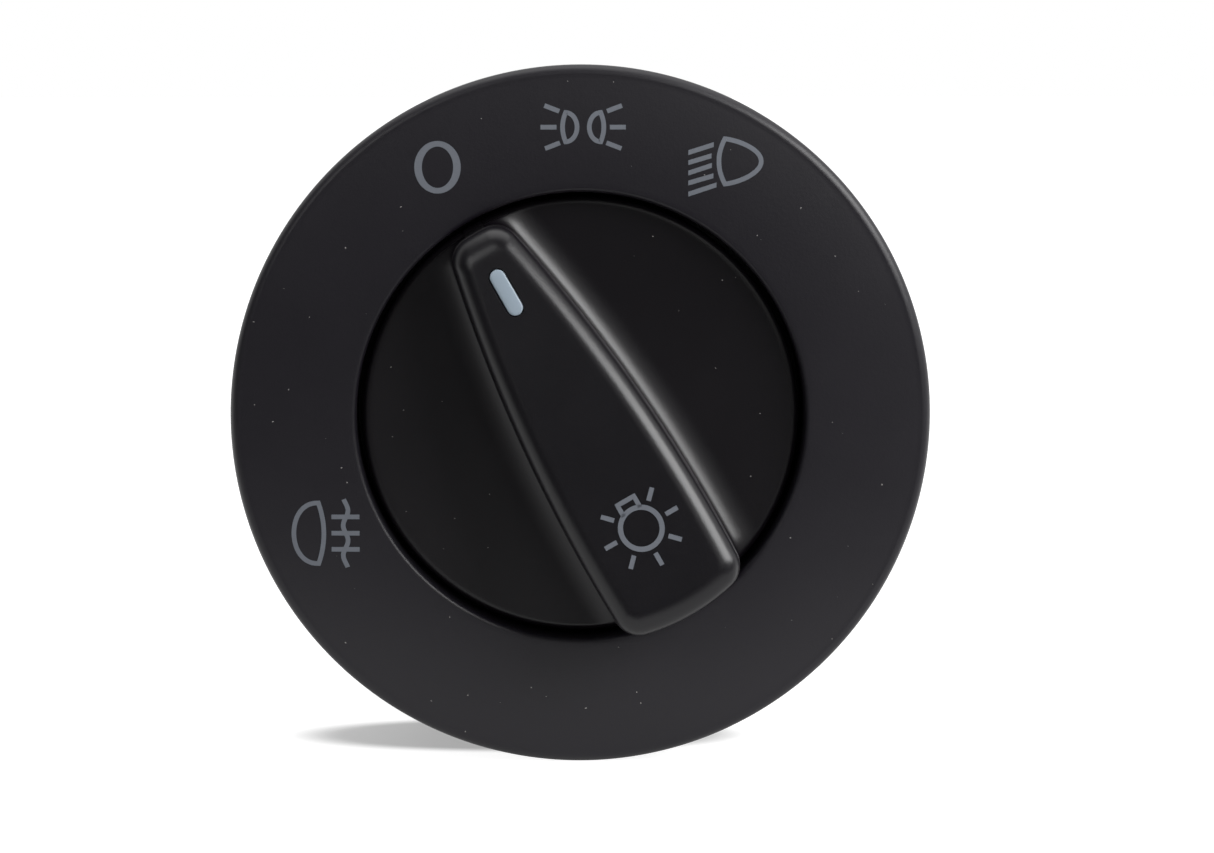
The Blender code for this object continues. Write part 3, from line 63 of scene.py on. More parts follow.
# Knob and grip
DISC_RADIUS, DISC_EDGE, DISC_HEIGHT, DISC_DISH = 21.2, 0.6, 2.75, 0.7
HALF_WIDTH, TAPER, BELLY, END_RADIUS, CORNER = 6.25, 0.085, 0.0034, 20.75, 2.6
GRIP_TOP, SLOPE, DRAFT, COVE_WIDTH, COVE_HEIGHT = 13.55, 0.173, -0.2, 2.9, 1.3
CAP_DROP, CAP_INSET, SHOULDER, END_SHOULDER, CAP_WALL, SEAM = 2.2, 0.05, 2.0, 2.5, 1.3, 0.1
SEAM_ROUND, LEDGE_INSET, LIP_WALL, LIP_HEIGHT, POCKET_FLOOR = 0.08, 1.72, 0.8, 0.5, 3.0
CROWN_PULL = 0.22  # share by which the cap's rows draw in along the grip towards its ridge
SKIRT_END, SKIRT_FOOT, SKIRT_INNER, DISC_UNDERSIDE = -2.6, 20.95, 19.3, 1.0
POINTER_LENGTH, POINTER_WIDTH, POINTER_PLACE = 5.1, 1.75, 14.5
HUB_RADIUS, HUB_BORE, HUB_END, HUB_ROOT = 4.4, 2.0, -20.4, 1.4
NOSE_RADIUS, NOSE_END, MOUTH_RADIUS, MOUTH_END = 3.4, -21.5, 2.7, -20.0
SPLINE_HALF_WIDTH, SPLINE_REACH, SPLINE_END = 0.8, 5.2, -19.5
FINGER_OUTER, FINGER_INNER, FINGER_HALF_ANGLE, FINGER_END = 11.2, 9.6, 12, -6.3
END_STEPS, CORNER_STEPS, SIDE_STEPS, COVE_ROWS, SLOT_STEPS = 14, 14, 64, 15, 16
LOBE_INNER, LOBE_RADIUS, LOBE_END = 10.2, 20.3, 16.5


def spread_over(count, low=0.0, high=1.0):
    """Evenly spaced numbers from low to high, both included."""
    return [low + (high - low) * i / (count - 1) for i in range(count)]


def polar(radius, clock):
    """X and y of a point at a clock angle."""
    angle = math.radians(clock)
    return radius * math.sin(angle), radius * math.cos(angle)


class Value:
    """A number in a node tree. Arithmetic on it adds Math nodes."""

    def __init__(self, tree, socket):
        self.tree, self.socket = tree, socket

    def math(self, operation, first, second):
        made = self.tree.node("ShaderNodeMath", {"operation": operation}, {0: first, 1: second})
        return Value(self.tree, made.outputs[0])

    def __add__(self, other):
        return self.math("ADD", self, other)

    __radd__ = __add__

    def __sub__(self, other):
        return self.math("SUBTRACT", self, other)

    def __rsub__(self, other):
        return self.math("SUBTRACT", other, self)

    def __mul__(self, other):
        return self.math("MULTIPLY", self, other)

    __rmul__ = __mul__

    def step(self, low, high):
        """0 below low, 1 above high, smooth between."""
        made = self.tree.node(
            "ShaderNodeMapRange", {"interpolation_type": "SMOOTHSTEP"},
            {"Value": self, "From Min": low, "From Max": high},
        )
        return Value(self.tree, made.outputs[0])


class Tree:
    """A node tree that is built one node at a time."""

    def __init__(self, tree):
        self.tree = tree
        self.tree.nodes.clear()

    def node(self, kind, settings, sockets):
        """A node with its settings, and with a value or a link for each socket that is named."""
        made = self.tree.nodes.new(kind)
        for name, value in settings.items():
            setattr(made, name, value)
        for name, value in sockets.items():
            if isinstance(value, Value):
                value = value.socket
            if isinstance(value, bpy.types.NodeSocket):
                self.tree.links.new(value, made.inputs[name])
            else:
                if made.inputs[name].type == "RGBA" and len(value) == 3:
                    value = (*value, 1.0)
                made.inputs[name].default_value = value
        return made


class Finish(Tree):
    """One procedural material. Sockets that stay the same all over are given by name."""

    def __init__(self, name, fixed=()):
        self.material = bpy.data.materials.new(name)
        self.material.use_nodes = True
        super().__init__(self.material.node_tree)
        self.shader = self.node("ShaderNodeBsdfPrincipled", {}, dict(fixed))
        self.output = self.node("ShaderNodeOutputMaterial", {}, {"Surface": self.shader.outputs[0]})

    def place(self, stretch=(1, 1, 1)):
        """Object coordinates in millimetres, stretched."""
        where = self.node("ShaderNodeTexCoord", {}, {}).outputs["Object"]
        scale = tuple(s / MM for s in stretch)
        return self.node("ShaderNodeMapping", {}, {"Vector": where, "Scale": scale}).outputs[0]

    def noise(self, size, detail=3.0, rough=0.55, stretch=(1, 1, 1)):
        """Noise whose features are about size millimetres across."""
        made = self.node("ShaderNodeTexNoise", {}, {
            "Vector": self.place(stretch), "Scale": 1.0 / size, "Detail": detail, "Roughness": rough,
        })
        return Value(self, made.outputs[0])

    def cells(self, size):
        """Distance to the nearest of points about size millimetres apart."""
        made = self.node("ShaderNodeTexVoronoi", {}, {"Vector": self.place(), "Scale": 1.0 / size})
        return Value(self, made.outputs["Distance"])

    def blend(self, factor, low, high):
        """From the low colour at 0 to the high one at 1."""
        made = self.node("ShaderNodeMix", {"data_type": "RGBA"}, {0: factor, 6: low, 7: high})
        return made.outputs[2]

    def bump(self, height, depth):
        """Depth is in millimetres for a height of 1."""
        made = self.node("ShaderNodeBump", {}, {"Height": height, "Distance": depth * MM})
        self.set("Normal", made.outputs[0])

    def set(self, name, value):
        """Links a value to one of the shader's sockets."""
        socket = value.socket if isinstance(value, Value) else value
        self.tree.links.new(socket, self.shader.inputs[name])


def shade(colour, factor):
    """The colour made lighter or darker."""
    return tuple(min(1.0, c * factor) for c in colour)


def moulded(name, colour, roughness, grain, depth, cloud=8.0, contrast=0.08):
    """Moulded plastic: a fine eroded grain, and faint clouds in its colour and gloss."""
    made = Finish(name)
    clouds = made.noise(cloud, 4.0)
    fine = made.noise(grain, 3.0, 0.6)
    pits = made.cells(grain * 2.1)
    made.set("Base Color", made.blend(clouds, shade(colour, 1 - contrast), shade(colour, 1 + contrast)))
    made.set("Roughness", roughness - 0.05 + 0.06 * clouds + 0.05 * fine)
    made.bump(0.65 * fine + 0.35 * pits, depth)
    return made.material


def drawn_metal(name, colour, roughness, stretch, size=0.35):
    """Drawn or stamped metal with fine lines along one direction and dull patches."""
    made = Finish(name, {"Metallic": 1.0})
    lines = made.noise(size, 4.0, 0.6, stretch)
    dull = made.noise(1.6, 3.0)
    made.set("Base Color", made.blend(dull, shade(colour, 0.82), shade(colour, 1.05)))
    made.set("Roughness", roughness + 0.18 * lines + 0.12 * dull)
    made.bump(lines, 0.006)
    return made.material


def clear_moulding(name, colour, roughness):
    """Clear acrylic, a little uneven from the mould."""
    made = Finish(name, {"Transmission Weight": 0.85, "IOR": 1.49})
    clouds = made.noise(2.5)
    made.set("Base Color", made.blend(clouds, shade(colour, 0.95), colour))
    made.set("Roughness", roughness + 0.12 * made.noise(0.6))
    made.bump(clouds, 0.02)
    return made.material


def printed_ink():
    """Light grey marking that lets the lamps behind it through, a little uneven at close range."""
    colour = (0.140, 0.153, 0.178)
    made = Finish("symbol_ink")
    speckle = made.noise(0.22, 3.0, 0.7)
    cover = 0.6 * speckle + 0.4 * made.noise(3.0)
    made.set("Base Color", made.blend(cover, shade(colour, 0.82), shade(colour, 1.15)))
    made.set("Roughness", 0.42 + 0.15 * speckle)
    made.bump(speckle, 0.004)
    return made.material


def lamp_body():
    """Small surface lamp: a pale case with a yellow phosphor field."""
    made = Finish("lamp_case")
    fine = made.noise(0.4)
    made.set("Base Color", made.blend(fine, (0.74, 0.70, 0.46), (0.86, 0.83, 0.70)))
    made.set("Roughness", 0.3 + 0.15 * fine)
    made.bump(fine, 0.01)
    return made.material


def board_laminate():
    """Black solder resist over faint copper runs."""
    made = Finish("board_laminate")
    runs = made.node("ShaderNodeTexBrick", {"offset": 0.5}, {
        "Vector": made.place((0.5, 1, 0.5)), "Scale": 0.6, "Mortar Size": 0.03,
        "Color1": (0.0, 0.0, 0.0, 1.0), "Color2": (0.0, 0.0, 0.0, 1.0), "Mortar": (1.0, 1.0, 1.0, 1.0),
    })
    run = Value(made, runs.outputs["Fac"])
    fine = made.noise(0.5)
    made.set("Base Color", made.blend(run, (0.010, 0.012, 0.011), (0.020, 0.026, 0.022)))
    made.set("Roughness", 0.36 + 0.12 * fine)
    made.bump(run + 0.2 * fine, 0.02)
    return made.material


BEZEL_SKIN = moulded("bezel_satin_plastic", (0.0064, 0.0051, 0.0088), 0.42, 0.16, 0.010)
KNOB_SKIN = moulded("knob_satin_plastic", (0.0042, 0.0031, 0.0049), 0.35, 0.14, 0.008)
CAP_SKIN = moulded("cap_satin_plastic", (0.0032, 0.0025, 0.0044), 0.32, 0.13, 0.008)
DARK_PLASTIC = moulded("housing_dark_plastic", (0.026, 0.027, 0.029), 0.5, 0.3, 0.02, 12.0, 0.14)
NATURAL_PLASTIC = moulded("natural_slide_plastic", (0.58, 0.56, 0.50), 0.42, 0.35, 0.012, 9.0, 0.05)
LATCH_PLASTIC = moulded("latch_slide_plastic", (0.40, 0.385, 0.345), 0.4, 0.35, 0.014, 5.0, 0.10)
POINTER_PLASTIC = moulded("pointer_milky_plastic", (0.305, 0.372, 0.436), 0.33, 0.2, 0.004, 2.0, 0.06)
CLEAR_PLASTIC = clear_moulding("light_guide_clear", (0.86, 0.89, 0.90), 0.08)
INK = printed_ink()
LAMP_CASE = lamp_body()
BOARD = board_laminate()
BRASS = drawn_metal("contact_brass", (0.70, 0.50, 0.22), 0.22, (1, 0.15, 1))
TINNED = drawn_metal("tinned_copper", (0.72, 0.72, 0.70), 0.24, (1, 0.12, 1))
STEEL = drawn_metal("spring_steel", (0.50, 0.50, 0.51), 0.26, (0.3, 0.3, 0.3), 0.2)
DUST = moulded("dust_specks", (0.30, 0.29, 0.28), 0.8, 0.1, 0.01)

NODE_FINISH = {
    "bezel": BEZEL_SKIN, "knob": KNOB_SKIN, "grip_cap": CAP_SKIN, "pointer_window": POINTER_PLASTIC,
    "housing": DARK_PLASTIC, "rear_cover": DARK_PLASTIC, "circuit_board": BOARD,
    "light_guide_ring": CLEAR_PLASTIC, "knob_light_guide": CLEAR_PLASTIC,
}
FAMILY_FINISH = {
    "led_": LAMP_CASE, "track_": BRASS, "wiper_": BRASS, "fog_contact_": BRASS, "pull_contact": BRASS,
    "terminal_": TINNED, "board_pin_": TINNED, "detent_spring_": STEEL, "latch_spring_": STEEL,
    "return_spring": STEEL, "rotor": NATURAL_PLASTIC, "contact_plate": NATURAL_PLASTIC,
    "release_ring": NATURAL_PLASTIC, "latch_": LATCH_PLASTIC,
}
for name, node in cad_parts.items():
    families = (made for start, made in FAMILY_FINISH.items() if name.startswith(start))
    finish = NODE_FINISH.get(name) or next(families)
    for place in node.material_slots:
        place.material = finish


class Skin:
    """Points and faces of one piece, gathered row by row."""

    def __init__(self):
        self.points, self.faces = [], []

    def row(self, points):
        """Adds the points and gives their numbers."""
        first = len(self.points)
        self.points += [tuple(p) for p in points]
        return list(range(first, len(self.points)))

    def loft(self, rows, loop=True, ends=(False, False)):
        """A skin through rows of as many points each. Ends says which end rows get a flat cap."""
        rows = [self.row(points) for points in rows]
        for lower, upper in zip(rows, rows[1:]):
            for i in range(len(lower) if loop else len(lower) - 1):
                k = (i + 1) % len(lower)
                self.faces.append((lower[i], lower[k], upper[k], upper[i]))
        for row, wanted in zip((rows[0], rows[-1]), ends):
            if wanted:
                self.faces.append(tuple(row))
        return rows

    def turn(self, profile, steps):
        """A closed profile of radius and height, turned about z."""
        rows = []
        for i in range(steps):
            angle = math.tau * i / steps
            rows.append([(r * math.cos(angle), r * math.sin(angle), z) for r, z in profile])
        self.loft(rows + rows[:1])

    def plate(self, outline, low, high):
        """A closed outline of x and y with a thickness."""
        self.loft([[(x, y, z) for x, y in outline] for z in (low, high)], ends=(True, True))

    def mesh(self, name, place):
        """The skin as a mesh of its own, put in the CAD's frame."""
        made = bpy.data.meshes.new(name)
        made.from_pydata(self.points, [], self.faces)
        made.transform(place)
        return tidied(made)


def tidied(mesh):
    """The mesh with doubles merged, faces outwards and crisp edges kept."""
    shape = bmesh.new()
    shape.from_mesh(mesh)
    bmesh.ops.remove_doubles(shape, verts=shape.verts[:], dist=2 * SAME_POINT)
    bmesh.ops.dissolve_degenerate(shape, edges=shape.edges[:], dist=SAME_POINT / 2)
    bmesh.ops.recalc_face_normals(shape, faces=shape.faces[:])
    shape.to_mesh(mesh)
    shape.free()
    mesh.shade_smooth()
    mesh.set_sharp_from_angle(angle=CREASE)
    return mesh


def add_piece(name, mesh, material, body, slot, *nodes):
    """Puts a finished mesh in the scene, on its body, and in the place of CAD nodes."""
    made = bpy.data.objects.new(name, mesh)
    bpy.context.scene.collection.objects.link(made)
    mesh.materials.clear()
    mesh.materials.append(material)
    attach(made, body)
    if nodes:
        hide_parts(*nodes)


# Bezel

def face_height(x, y):
    """Height of the bezel's face over a point."""
    share = (math.hypot(x, y) - FACE_INNER) / (FACE_OUTER - FACE_INNER)
    return FACE_TOP - FACE_RISE * share * share


def bezel():
    """Dished ring with its rolled edges, collar, skirt and four snap tabs."""
    profile = []
    for a in spread_over(9, 0.0, 90.0):
        a, z = math.radians(a), FACE_TOP - WELL_EDGE
        profile.append((FACE_INNER - WELL_EDGE * math.cos(a), z + WELL_EDGE * math.sin(a)))
    profile += [(r, face_height(r, 0)) for r in spread_over(26, FACE_INNER, FACE_OUTER + 0.1)[1:]]
    for a in spread_over(12, 9.0, 90.0):
        a = math.radians(a)
        profile.append((FACE_OUTER + BEZEL_EDGE * math.sin(a), BEZEL_SIDE + BEZEL_EDGE * math.cos(a)))
    profile += [
        (BEZEL_FOOT + 0.27, 1.8), (BEZEL_FOOT, 0.2), (BEZEL_FOOT - 0.06, 0.06),
        (BEZEL_FOOT - 0.2, 0.0), (SEAT_RADIUS, 0.0), (SEAT_RADIUS, UNDERSIDE), (COLLAR_RADIUS, UNDERSIDE),
        (COLLAR_RADIUS, COLLAR_END), (WELL_RADIUS + 0.15, COLLAR_END), (WELL_RADIUS, COLLAR_END + 0.15),
    ]
    skin = Skin()
    skin.turn(profile, 256)
    tab = [
        (TAB_INNER, TAB_END), (TAB_OUTER, TAB_END), (HOOK_REACH, HOOK_TOP - HOOK_LAND),
        (HOOK_REACH, HOOK_TOP), (TAB_OUTER, HOOK_TOP), (TAB_OUTER, UNDERSIDE + 0.4),
        (TAB_INNER, UNDERSIDE + 0.4),
    ]
    for clock in TAB_CLOCKS:
        rows = []
        out, up = polar(1.0, clock)
        for side in (-TAB_HALF_WIDTH, TAB_HALF_WIDTH):
            rows.append([(r * out + side * up, r * up - side * out, z) for r, z in tab])
        skin.loft(rows, ends=(True, True))
    add_piece("bezel_fine", skin.mesh("bezel_fine", FACE), BEZEL_SKIN, "housing", "black_face", "bezel")


# Grip outline

def half_width(along):
    """Half the grip's width at a place along it, counted towards its wide end."""
    return HALF_WIDTH + TAPER * along - BELLY * along * along


def grip_quarter(sign, side, end, corner, spread):
    """Points of an end's arc, then round its corner to the start of the side."""
    along = sign * (end - corner)
    for _ in range(40):
        slope = TAPER - 2 * BELLY * along
        across = half_width(along) + side - corner * math.hypot(1.0, slope)
        along = sign * math.sqrt((end - corner) ** 2 - across ** 2)
    reach, middle = corner + spread, end - corner
    bend = (end ** 2 - middle ** 2 - reach ** 2) / (2 * middle * reach)
    first = math.atan2(across, along) + sign * math.acos(min(1.0, bend))
    last = math.atan2(1.0, -slope)
    points = []
    for angle in spread_over(CORNER_STEPS + 1, first, last):
        points.append((along + reach * math.cos(angle), across + reach * math.sin(angle)))
    start = math.atan2(points[0][1], points[0][0])
    middle_angle = 0.0 if sign > 0 else math.pi
    arc = []
    for angle in spread_over(END_STEPS + 1, middle_angle, start)[:-1]:
        arc.append((end * math.cos(angle), end * math.sin(angle)))
    return arc + points


def grip_half(side=0.0, end=END_RADIUS, corner=CORNER, spread=0.0):
    """One side of the grip's outline, from the middle of the tip to the middle of the wide end."""
    tip = grip_quarter(-1, side, end, corner, spread)
    wide = grip_quarter(1, side, end, corner, spread)
    start, stop = tip[-1], wide[-1]
    between = []
    for along in spread_over(SIDE_STEPS + 1, start[0], stop[0])[1:-1]:
        slope = TAPER - 2 * BELLY * along
        between.append((along, half_width(along) + side + spread * math.hypot(1.0, slope)))
    return [(across, -along) for along, across in tip + between + list(reversed(wide))]


def whole(half):
    """One side of the grip's outline and its mirror image, as one closed line."""
    return half + [(-x, y) for x, y in reversed(half[1:-1])]


def inner_half(inset, end=0.0):
    """One side of the grip's outline set in all round, and by more at its ends."""
    return grip_half(-inset, END_RADIUS - inset - end, max(CORNER - inset, 0.5))


def grip_top(y):
    """Height of the grip's sloping top."""
    return GRIP_TOP - SLOPE * y


def disc_height(x, y):
    """Height of the disc's dished top, and of its rounded rim."""
    radius, rim = math.hypot(x, y), DISC_RADIUS - DISC_EDGE
    if radius > rim:
        return DISC_HEIGHT - DISC_EDGE + math.sqrt(max(0.0, DISC_EDGE ** 2 - (radius - rim) ** 2))
    return DISC_HEIGHT - DISC_DISH * (1.0 - (radius / rim) ** 2)


def knob():
    """Disc with its scooped lobes, the grip's walls up to the seam, skirt, hub and fingers."""
    skin = Skin()
    rim_height = disc_height(END_RADIUS, 0.0)
    cove = []
    for a in spread_over(COVE_ROWS, 90.0, 0.0):
        a = math.radians(a)
        cove.append((DRAFT + COVE_WIDTH * (1 - math.sin(a)), COVE_HEIGHT * (1 - math.cos(a))))
    sides = [(grip_half(spread=s)[END_STEPS:-END_STEPS], h) for s, h in cove]
    foot = sides[-1][0]
    lengths = [0.0]
    for (ax, ay), (bx, by) in zip(foot, foot[1:]):
        lengths.append(lengths[-1] + math.hypot(bx - ax, by - ay))
    first, last = (math.atan2(x, y) for x, y in (foot[0], foot[-1]))
    arc = []
    for length in lengths:
        angle = first + (last - first) * length / lengths[-1]
        arc.append((END_RADIUS * math.sin(angle), END_RADIUS * math.cos(angle)))
    rows = [[(x, y, disc_height(x, y) + h) for x, y in line] for line, h in sides]
    for t in spread_over(25)[1:]:
        row = []
        for (ax, ay), (bx, by) in zip(foot, arc):
            x, y = ax + (bx - ax) * t, ay + (by - ay) * t
            row.append((x, y, disc_height(x, y)))
        rows.append(row)
    for side in (1, -1):
        skin.loft([[(side * x, y, z) for x, y, z in row] for row in rows], loop=False)
    # Edge of the top skin, all on the end circle
    ring = grip_half(spread=DRAFT)
    half = [(x, y, disc_height(x, y) + COVE_HEIGHT) for x, y in ring[:END_STEPS]]
    coved = rows[:COVE_ROWS]
    half += [row[0] for row in coved] + rows[-1][1:-1] + [row[-1] for row in reversed(coved)]
    half += [(x, y, disc_height(x, y) + COVE_HEIGHT) for x, y in ring[-END_STEPS:]]
    edge = half + [(-x, y, z) for x, y, z in reversed(half[1:-1])]
    down = [edge, [(x, y, rim_height) for x, y, _ in edge]]
    flank = []
    lean = math.degrees(math.asin((END_RADIUS - DISC_RADIUS + DISC_EDGE) / DISC_EDGE))
    for a in spread_over(7, lean, 90.0)[1:]:
        a = math.radians(a)
        flank.append((DISC_RADIUS - DISC_EDGE + DISC_EDGE * math.sin(a),
                      DISC_HEIGHT - DISC_EDGE + DISC_EDGE * math.cos(a)))
    flank += [
        (DISC_RADIUS, 0.0), (DISC_RADIUS, SKIRT_END + 0.15), (SKIRT_FOOT, SKIRT_END),
        (SKIRT_INNER, SKIRT_END), (SKIRT_INNER, DISC_UNDERSIDE), (HUB_RADIUS - 0.2, DISC_UNDERSIDE),
    ]
    for r, z in flank:
        down.append([(x * r / END_RADIUS, y * r / END_RADIUS, z) for x, y, _ in edge])
    skin.loft(down, ends=(False, True))
    # Walls of the grip up to the seam, its softened lip, the ledge and the pocket
    low = whole(ring)
    walls = [[(x, y, disc_height(x, y) + COVE_HEIGHT) for x, y in low]]
    seam = [grip_top(y) - CAP_DROP - SEAM for x, y in whole(grip_half())]
    for t in spread_over(6)[1:-1]:
        line = whole(grip_half(spread=DRAFT * (1 - t)))
        walls.append([
            (x, y, below[2] + (top - SEAM_ROUND - below[2]) * t)
            for (x, y), below, top in zip(line, walls[0], seam)
        ])
    pocket_inset = LEDGE_INSET + LIP_WALL
    for inset, rise in (
        (0.0, -SEAM_ROUND), (0.02, -0.03), (0.07, 0.0),
        (LEDGE_INSET, 0.0), (LEDGE_INSET, LIP_HEIGHT), (pocket_inset, LIP_HEIGHT),
    ):
        line = whole(inner_half(inset)) if inset else whole(grip_half())
        walls.append([(x, y, top + rise) for (x, y), top in zip(line, seam)])
    walls.append([(x, y, POCKET_FLOOR) for x, y in whole(inner_half(pocket_inset))])
    skin.loft(walls, ends=(False, True))
    # Hub with its splines, and the fingers that turn the release ring
    skin.turn([
        (HUB_BORE, HUB_ROOT), (HUB_RADIUS, HUB_ROOT), (HUB_RADIUS, HUB_END), (NOSE_RADIUS, HUB_END),
        (NOSE_RADIUS, NOSE_END), (MOUTH_RADIUS, NOSE_END), (MOUTH_RADIUS, MOUTH_END),
    ], 48)
    for side in (1, -1):
        root, tip = side * (HUB_RADIUS - 0.4), side * SPLINE_REACH
        skin.plate([
            (-SPLINE_HALF_WIDTH, root), (SPLINE_HALF_WIDTH, root),
            (SPLINE_HALF_WIDTH, tip), (-SPLINE_HALF_WIDTH, tip),
        ], SPLINE_END, HUB_ROOT)
        clock = side * 90 + KNOB_REST
        clocks = spread_over(9, clock - FINGER_HALF_ANGLE, clock + FINGER_HALF_ANGLE)
        finger = [polar(FINGER_OUTER, c) for c in clocks]
        finger += [polar(FINGER_INNER, c) for c in reversed(clocks)]
        skin.plate(finger, FINGER_END, HUB_ROOT)
    add_piece("knob_fine", skin.mesh("knob_fine", KNOB), KNOB_SKIN, "knob", "black_face", "knob")


def stadium(length, width):
    """A slot's outline, its length along y."""
    outline = []
    for sign in (1, -1):
        for angle in spread_over(SLOT_STEPS + 1, 0.0, math.pi):
            x = sign * width / 2 * math.cos(angle)
            outline.append((x, sign * ((length - width) / 2 + width / 2 * math.sin(angle))))
    return outline


def grip_cap():
    """The grip's top, a skin over rolled shoulders with the pointer's slot, and its pointer."""
    skin = Skin()
    rows = [[(x, y, grip_top(y) - CAP_DROP) for x, y in whole(inner_half(CAP_INSET + CAP_WALL))]]
    for inset, rise in ((0.07, 0.0), (0.02, 0.03), (0.0, 0.09)):
        line = whole(inner_half(CAP_INSET + inset))
        rows.append([(x, y, grip_top(y) - (CAP_DROP - rise)) for x, y in line])
    for a in spread_over(19, 0.0, 90.0):
        a = math.radians(a)
        side = CAP_INSET + SHOULDER * (1 - math.cos(a))
        line = whole(inner_half(side, (END_SHOULDER - SHOULDER) * (1 - math.cos(a))))
        rows.append([(x, y, grip_top(y) - SHOULDER * (1 - math.sin(a))) for x, y in line])
    top = rows[-1]
    for s in spread_over(9, 1.0, 0.0)[1:]:
        line = [(x * s, y * (1 - CROWN_PULL * (1 - s))) for x, y, _ in top]
        rows.append([(x, y, grip_top(y)) for x, y in line])
    skin.loft(rows)
    ridge = [y * (1 - CROWN_PULL) for _, y, _ in rows[0]]
    skin.loft([
        rows[0], [(x, y, grip_top(y) - CAP_WALL) for x, y, _ in rows[0]],
        [(0.0, y, grip_top(y) - CAP_WALL) for y in ridge],
    ])
    body = bpy.data.objects.new("cap_body", skin.mesh("cap_body", KNOB))
    bpy.context.scene.collection.objects.link(body)
    middle = Matrix.Translation((0, POINTER_PLACE, grip_top(POINTER_PLACE)))
    on_slope = KNOB @ (middle @ Matrix.Rotation(-math.atan(SLOPE), 4, "X"))
    cutter = Skin()
    cutter.plate(stadium(POINTER_LENGTH, POINTER_WIDTH), -CAP_WALL - 1.0, 1.0)
    tool = bpy.data.objects.new("slot_tool", cutter.mesh("slot_tool", on_slope))
    bpy.context.scene.collection.objects.link(tool)
    cut = body.modifiers.new("Slot", "BOOLEAN")
    cut.object, cut.operation, cut.solver = tool, "DIFFERENCE", "EXACT"
    made = applied(body)
    bpy.data.objects.remove(tool)
    made.name = "grip_cap_fine"
    made.shade_smooth()
    made.set_sharp_from_angle(angle=CREASE)
    add_piece("grip_cap_fine", made, CAP_SKIN, "knob", "black_cap", "grip_cap")
    window = Skin()
    rows = []
    for inset, z in (
        (0.0, -1.5), (0.0, -0.14), (0.03, -0.06), (0.09, -0.02), (0.25, 0.0), (0.5, 0.015), (0.8, 0.02),
    ):
        less = 2 * (SEAM + inset)
        outline = stadium(POINTER_LENGTH - less, max(POINTER_WIDTH - less, 0.001))
        rows.append([(x, y, z) for x, y in outline])
    window.loft(rows, ends=(True, True))
    pointer = window.mesh("pointer_window_fine", on_slope)
    add_piece("pointer_window_fine", pointer, POINTER_PLASTIC, "knob", "pointer", "pointer_window")


def applied(obj):
    """The object's evaluated mesh. The object itself is removed."""
    seen = obj.evaluated_get(bpy.context.evaluated_depsgraph_get())
    mesh = bpy.data.meshes.new_from_object(seen)
    bpy.data.objects.remove(obj)
    return mesh


# Symbols

INK_RISE, INK_SINK, PEN, BULB_PEN, PEN_STEP = 0.012, 0.06, 0.45, 0.49, 0.3
LENS_STEPS, TURN_STEPS, RAY_STEPS = 28, 48, 6


def band(skin, outer, inner, height, closed):
    """A raised band between two lines of as many points, laid on a surface."""
    rows = []
    for (ax, ay), (bx, by) in zip(outer, inner):
        a, b = height(ax, ay), height(bx, by)
        rows.append([
            (ax, ay, a - INK_SINK), (ax, ay, a + INK_RISE), (bx, by, b + INK_RISE), (bx, by, b - INK_SINK),
        ])
    if closed:
        skin.loft(rows + rows[:1])
    else:
        skin.loft(rows, ends=(True, True))


def stroke(skin, line, width, height, closed=False):
    """A line of points drawn with a pen of that width."""
    points = [Vector(p) for p in line]
    if closed:
        points.append(points[0])
    fine = []
    for a, b in zip(points, points[1:]):
        steps = max(1, math.ceil((b - a).length / PEN_STEP))
        fine += [a.lerp(b, i / steps) for i in range(steps)]
    if not closed:
        fine.append(points[-1])
    outer, inner = [], []
    for i, point in enumerate(fine):
        if closed:
            before, after = fine[i - 1], fine[(i + 1) % len(fine)]
        else:
            before, after = fine[max(0, i - 1)], fine[min(len(fine) - 1, i + 1)]
        arrive, leave = (point - before), (after - point)
        arrive = arrive.normalized() if arrive.length > 1e-9 else leave.normalized()
        leave = leave.normalized() if leave.length > 1e-9 else arrive
        along = (arrive + leave).normalized()
        across = Vector((-along.y, along.x))
        reach = width / 2 / max(0.8, across.dot(Vector((-arrive.y, arrive.x))))
        outer.append(tuple(point + across * reach))
        inner.append(tuple(point - across * reach))
    band(skin, outer, inner, height, closed)


def lens(width, height, bulge, square=1.0):
    """Centre line of a lamp's lens, its round side to the right and its corners at x = 0."""
    line = []
    for a in spread_over(LENS_STEPS + 1, 90.0, -90.0):
        a = math.radians(a)
        line.append((width * math.cos(a) ** square, height / 2 * math.sin(a)))
    for s in spread_over(13, -1.0, 1.0)[1:-1]:
        line.append((-bulge * (1 - s * s), height / 2 * s))
    return line


def oval(place, wide, tall):
    """Points of an ellipse about its middle."""
    turns = spread_over(TURN_STEPS + 1, 0.0, math.tau)[:-1]
    return [(place[0] + wide * math.cos(a), place[1] + tall * math.sin(a)) for a in turns]


def moved(line, place, mirror=1):
    """The line put at its place, and mirrored there where mirror is -1."""
    return [(place[0] + mirror * x, place[1] + y) for x, y in line]


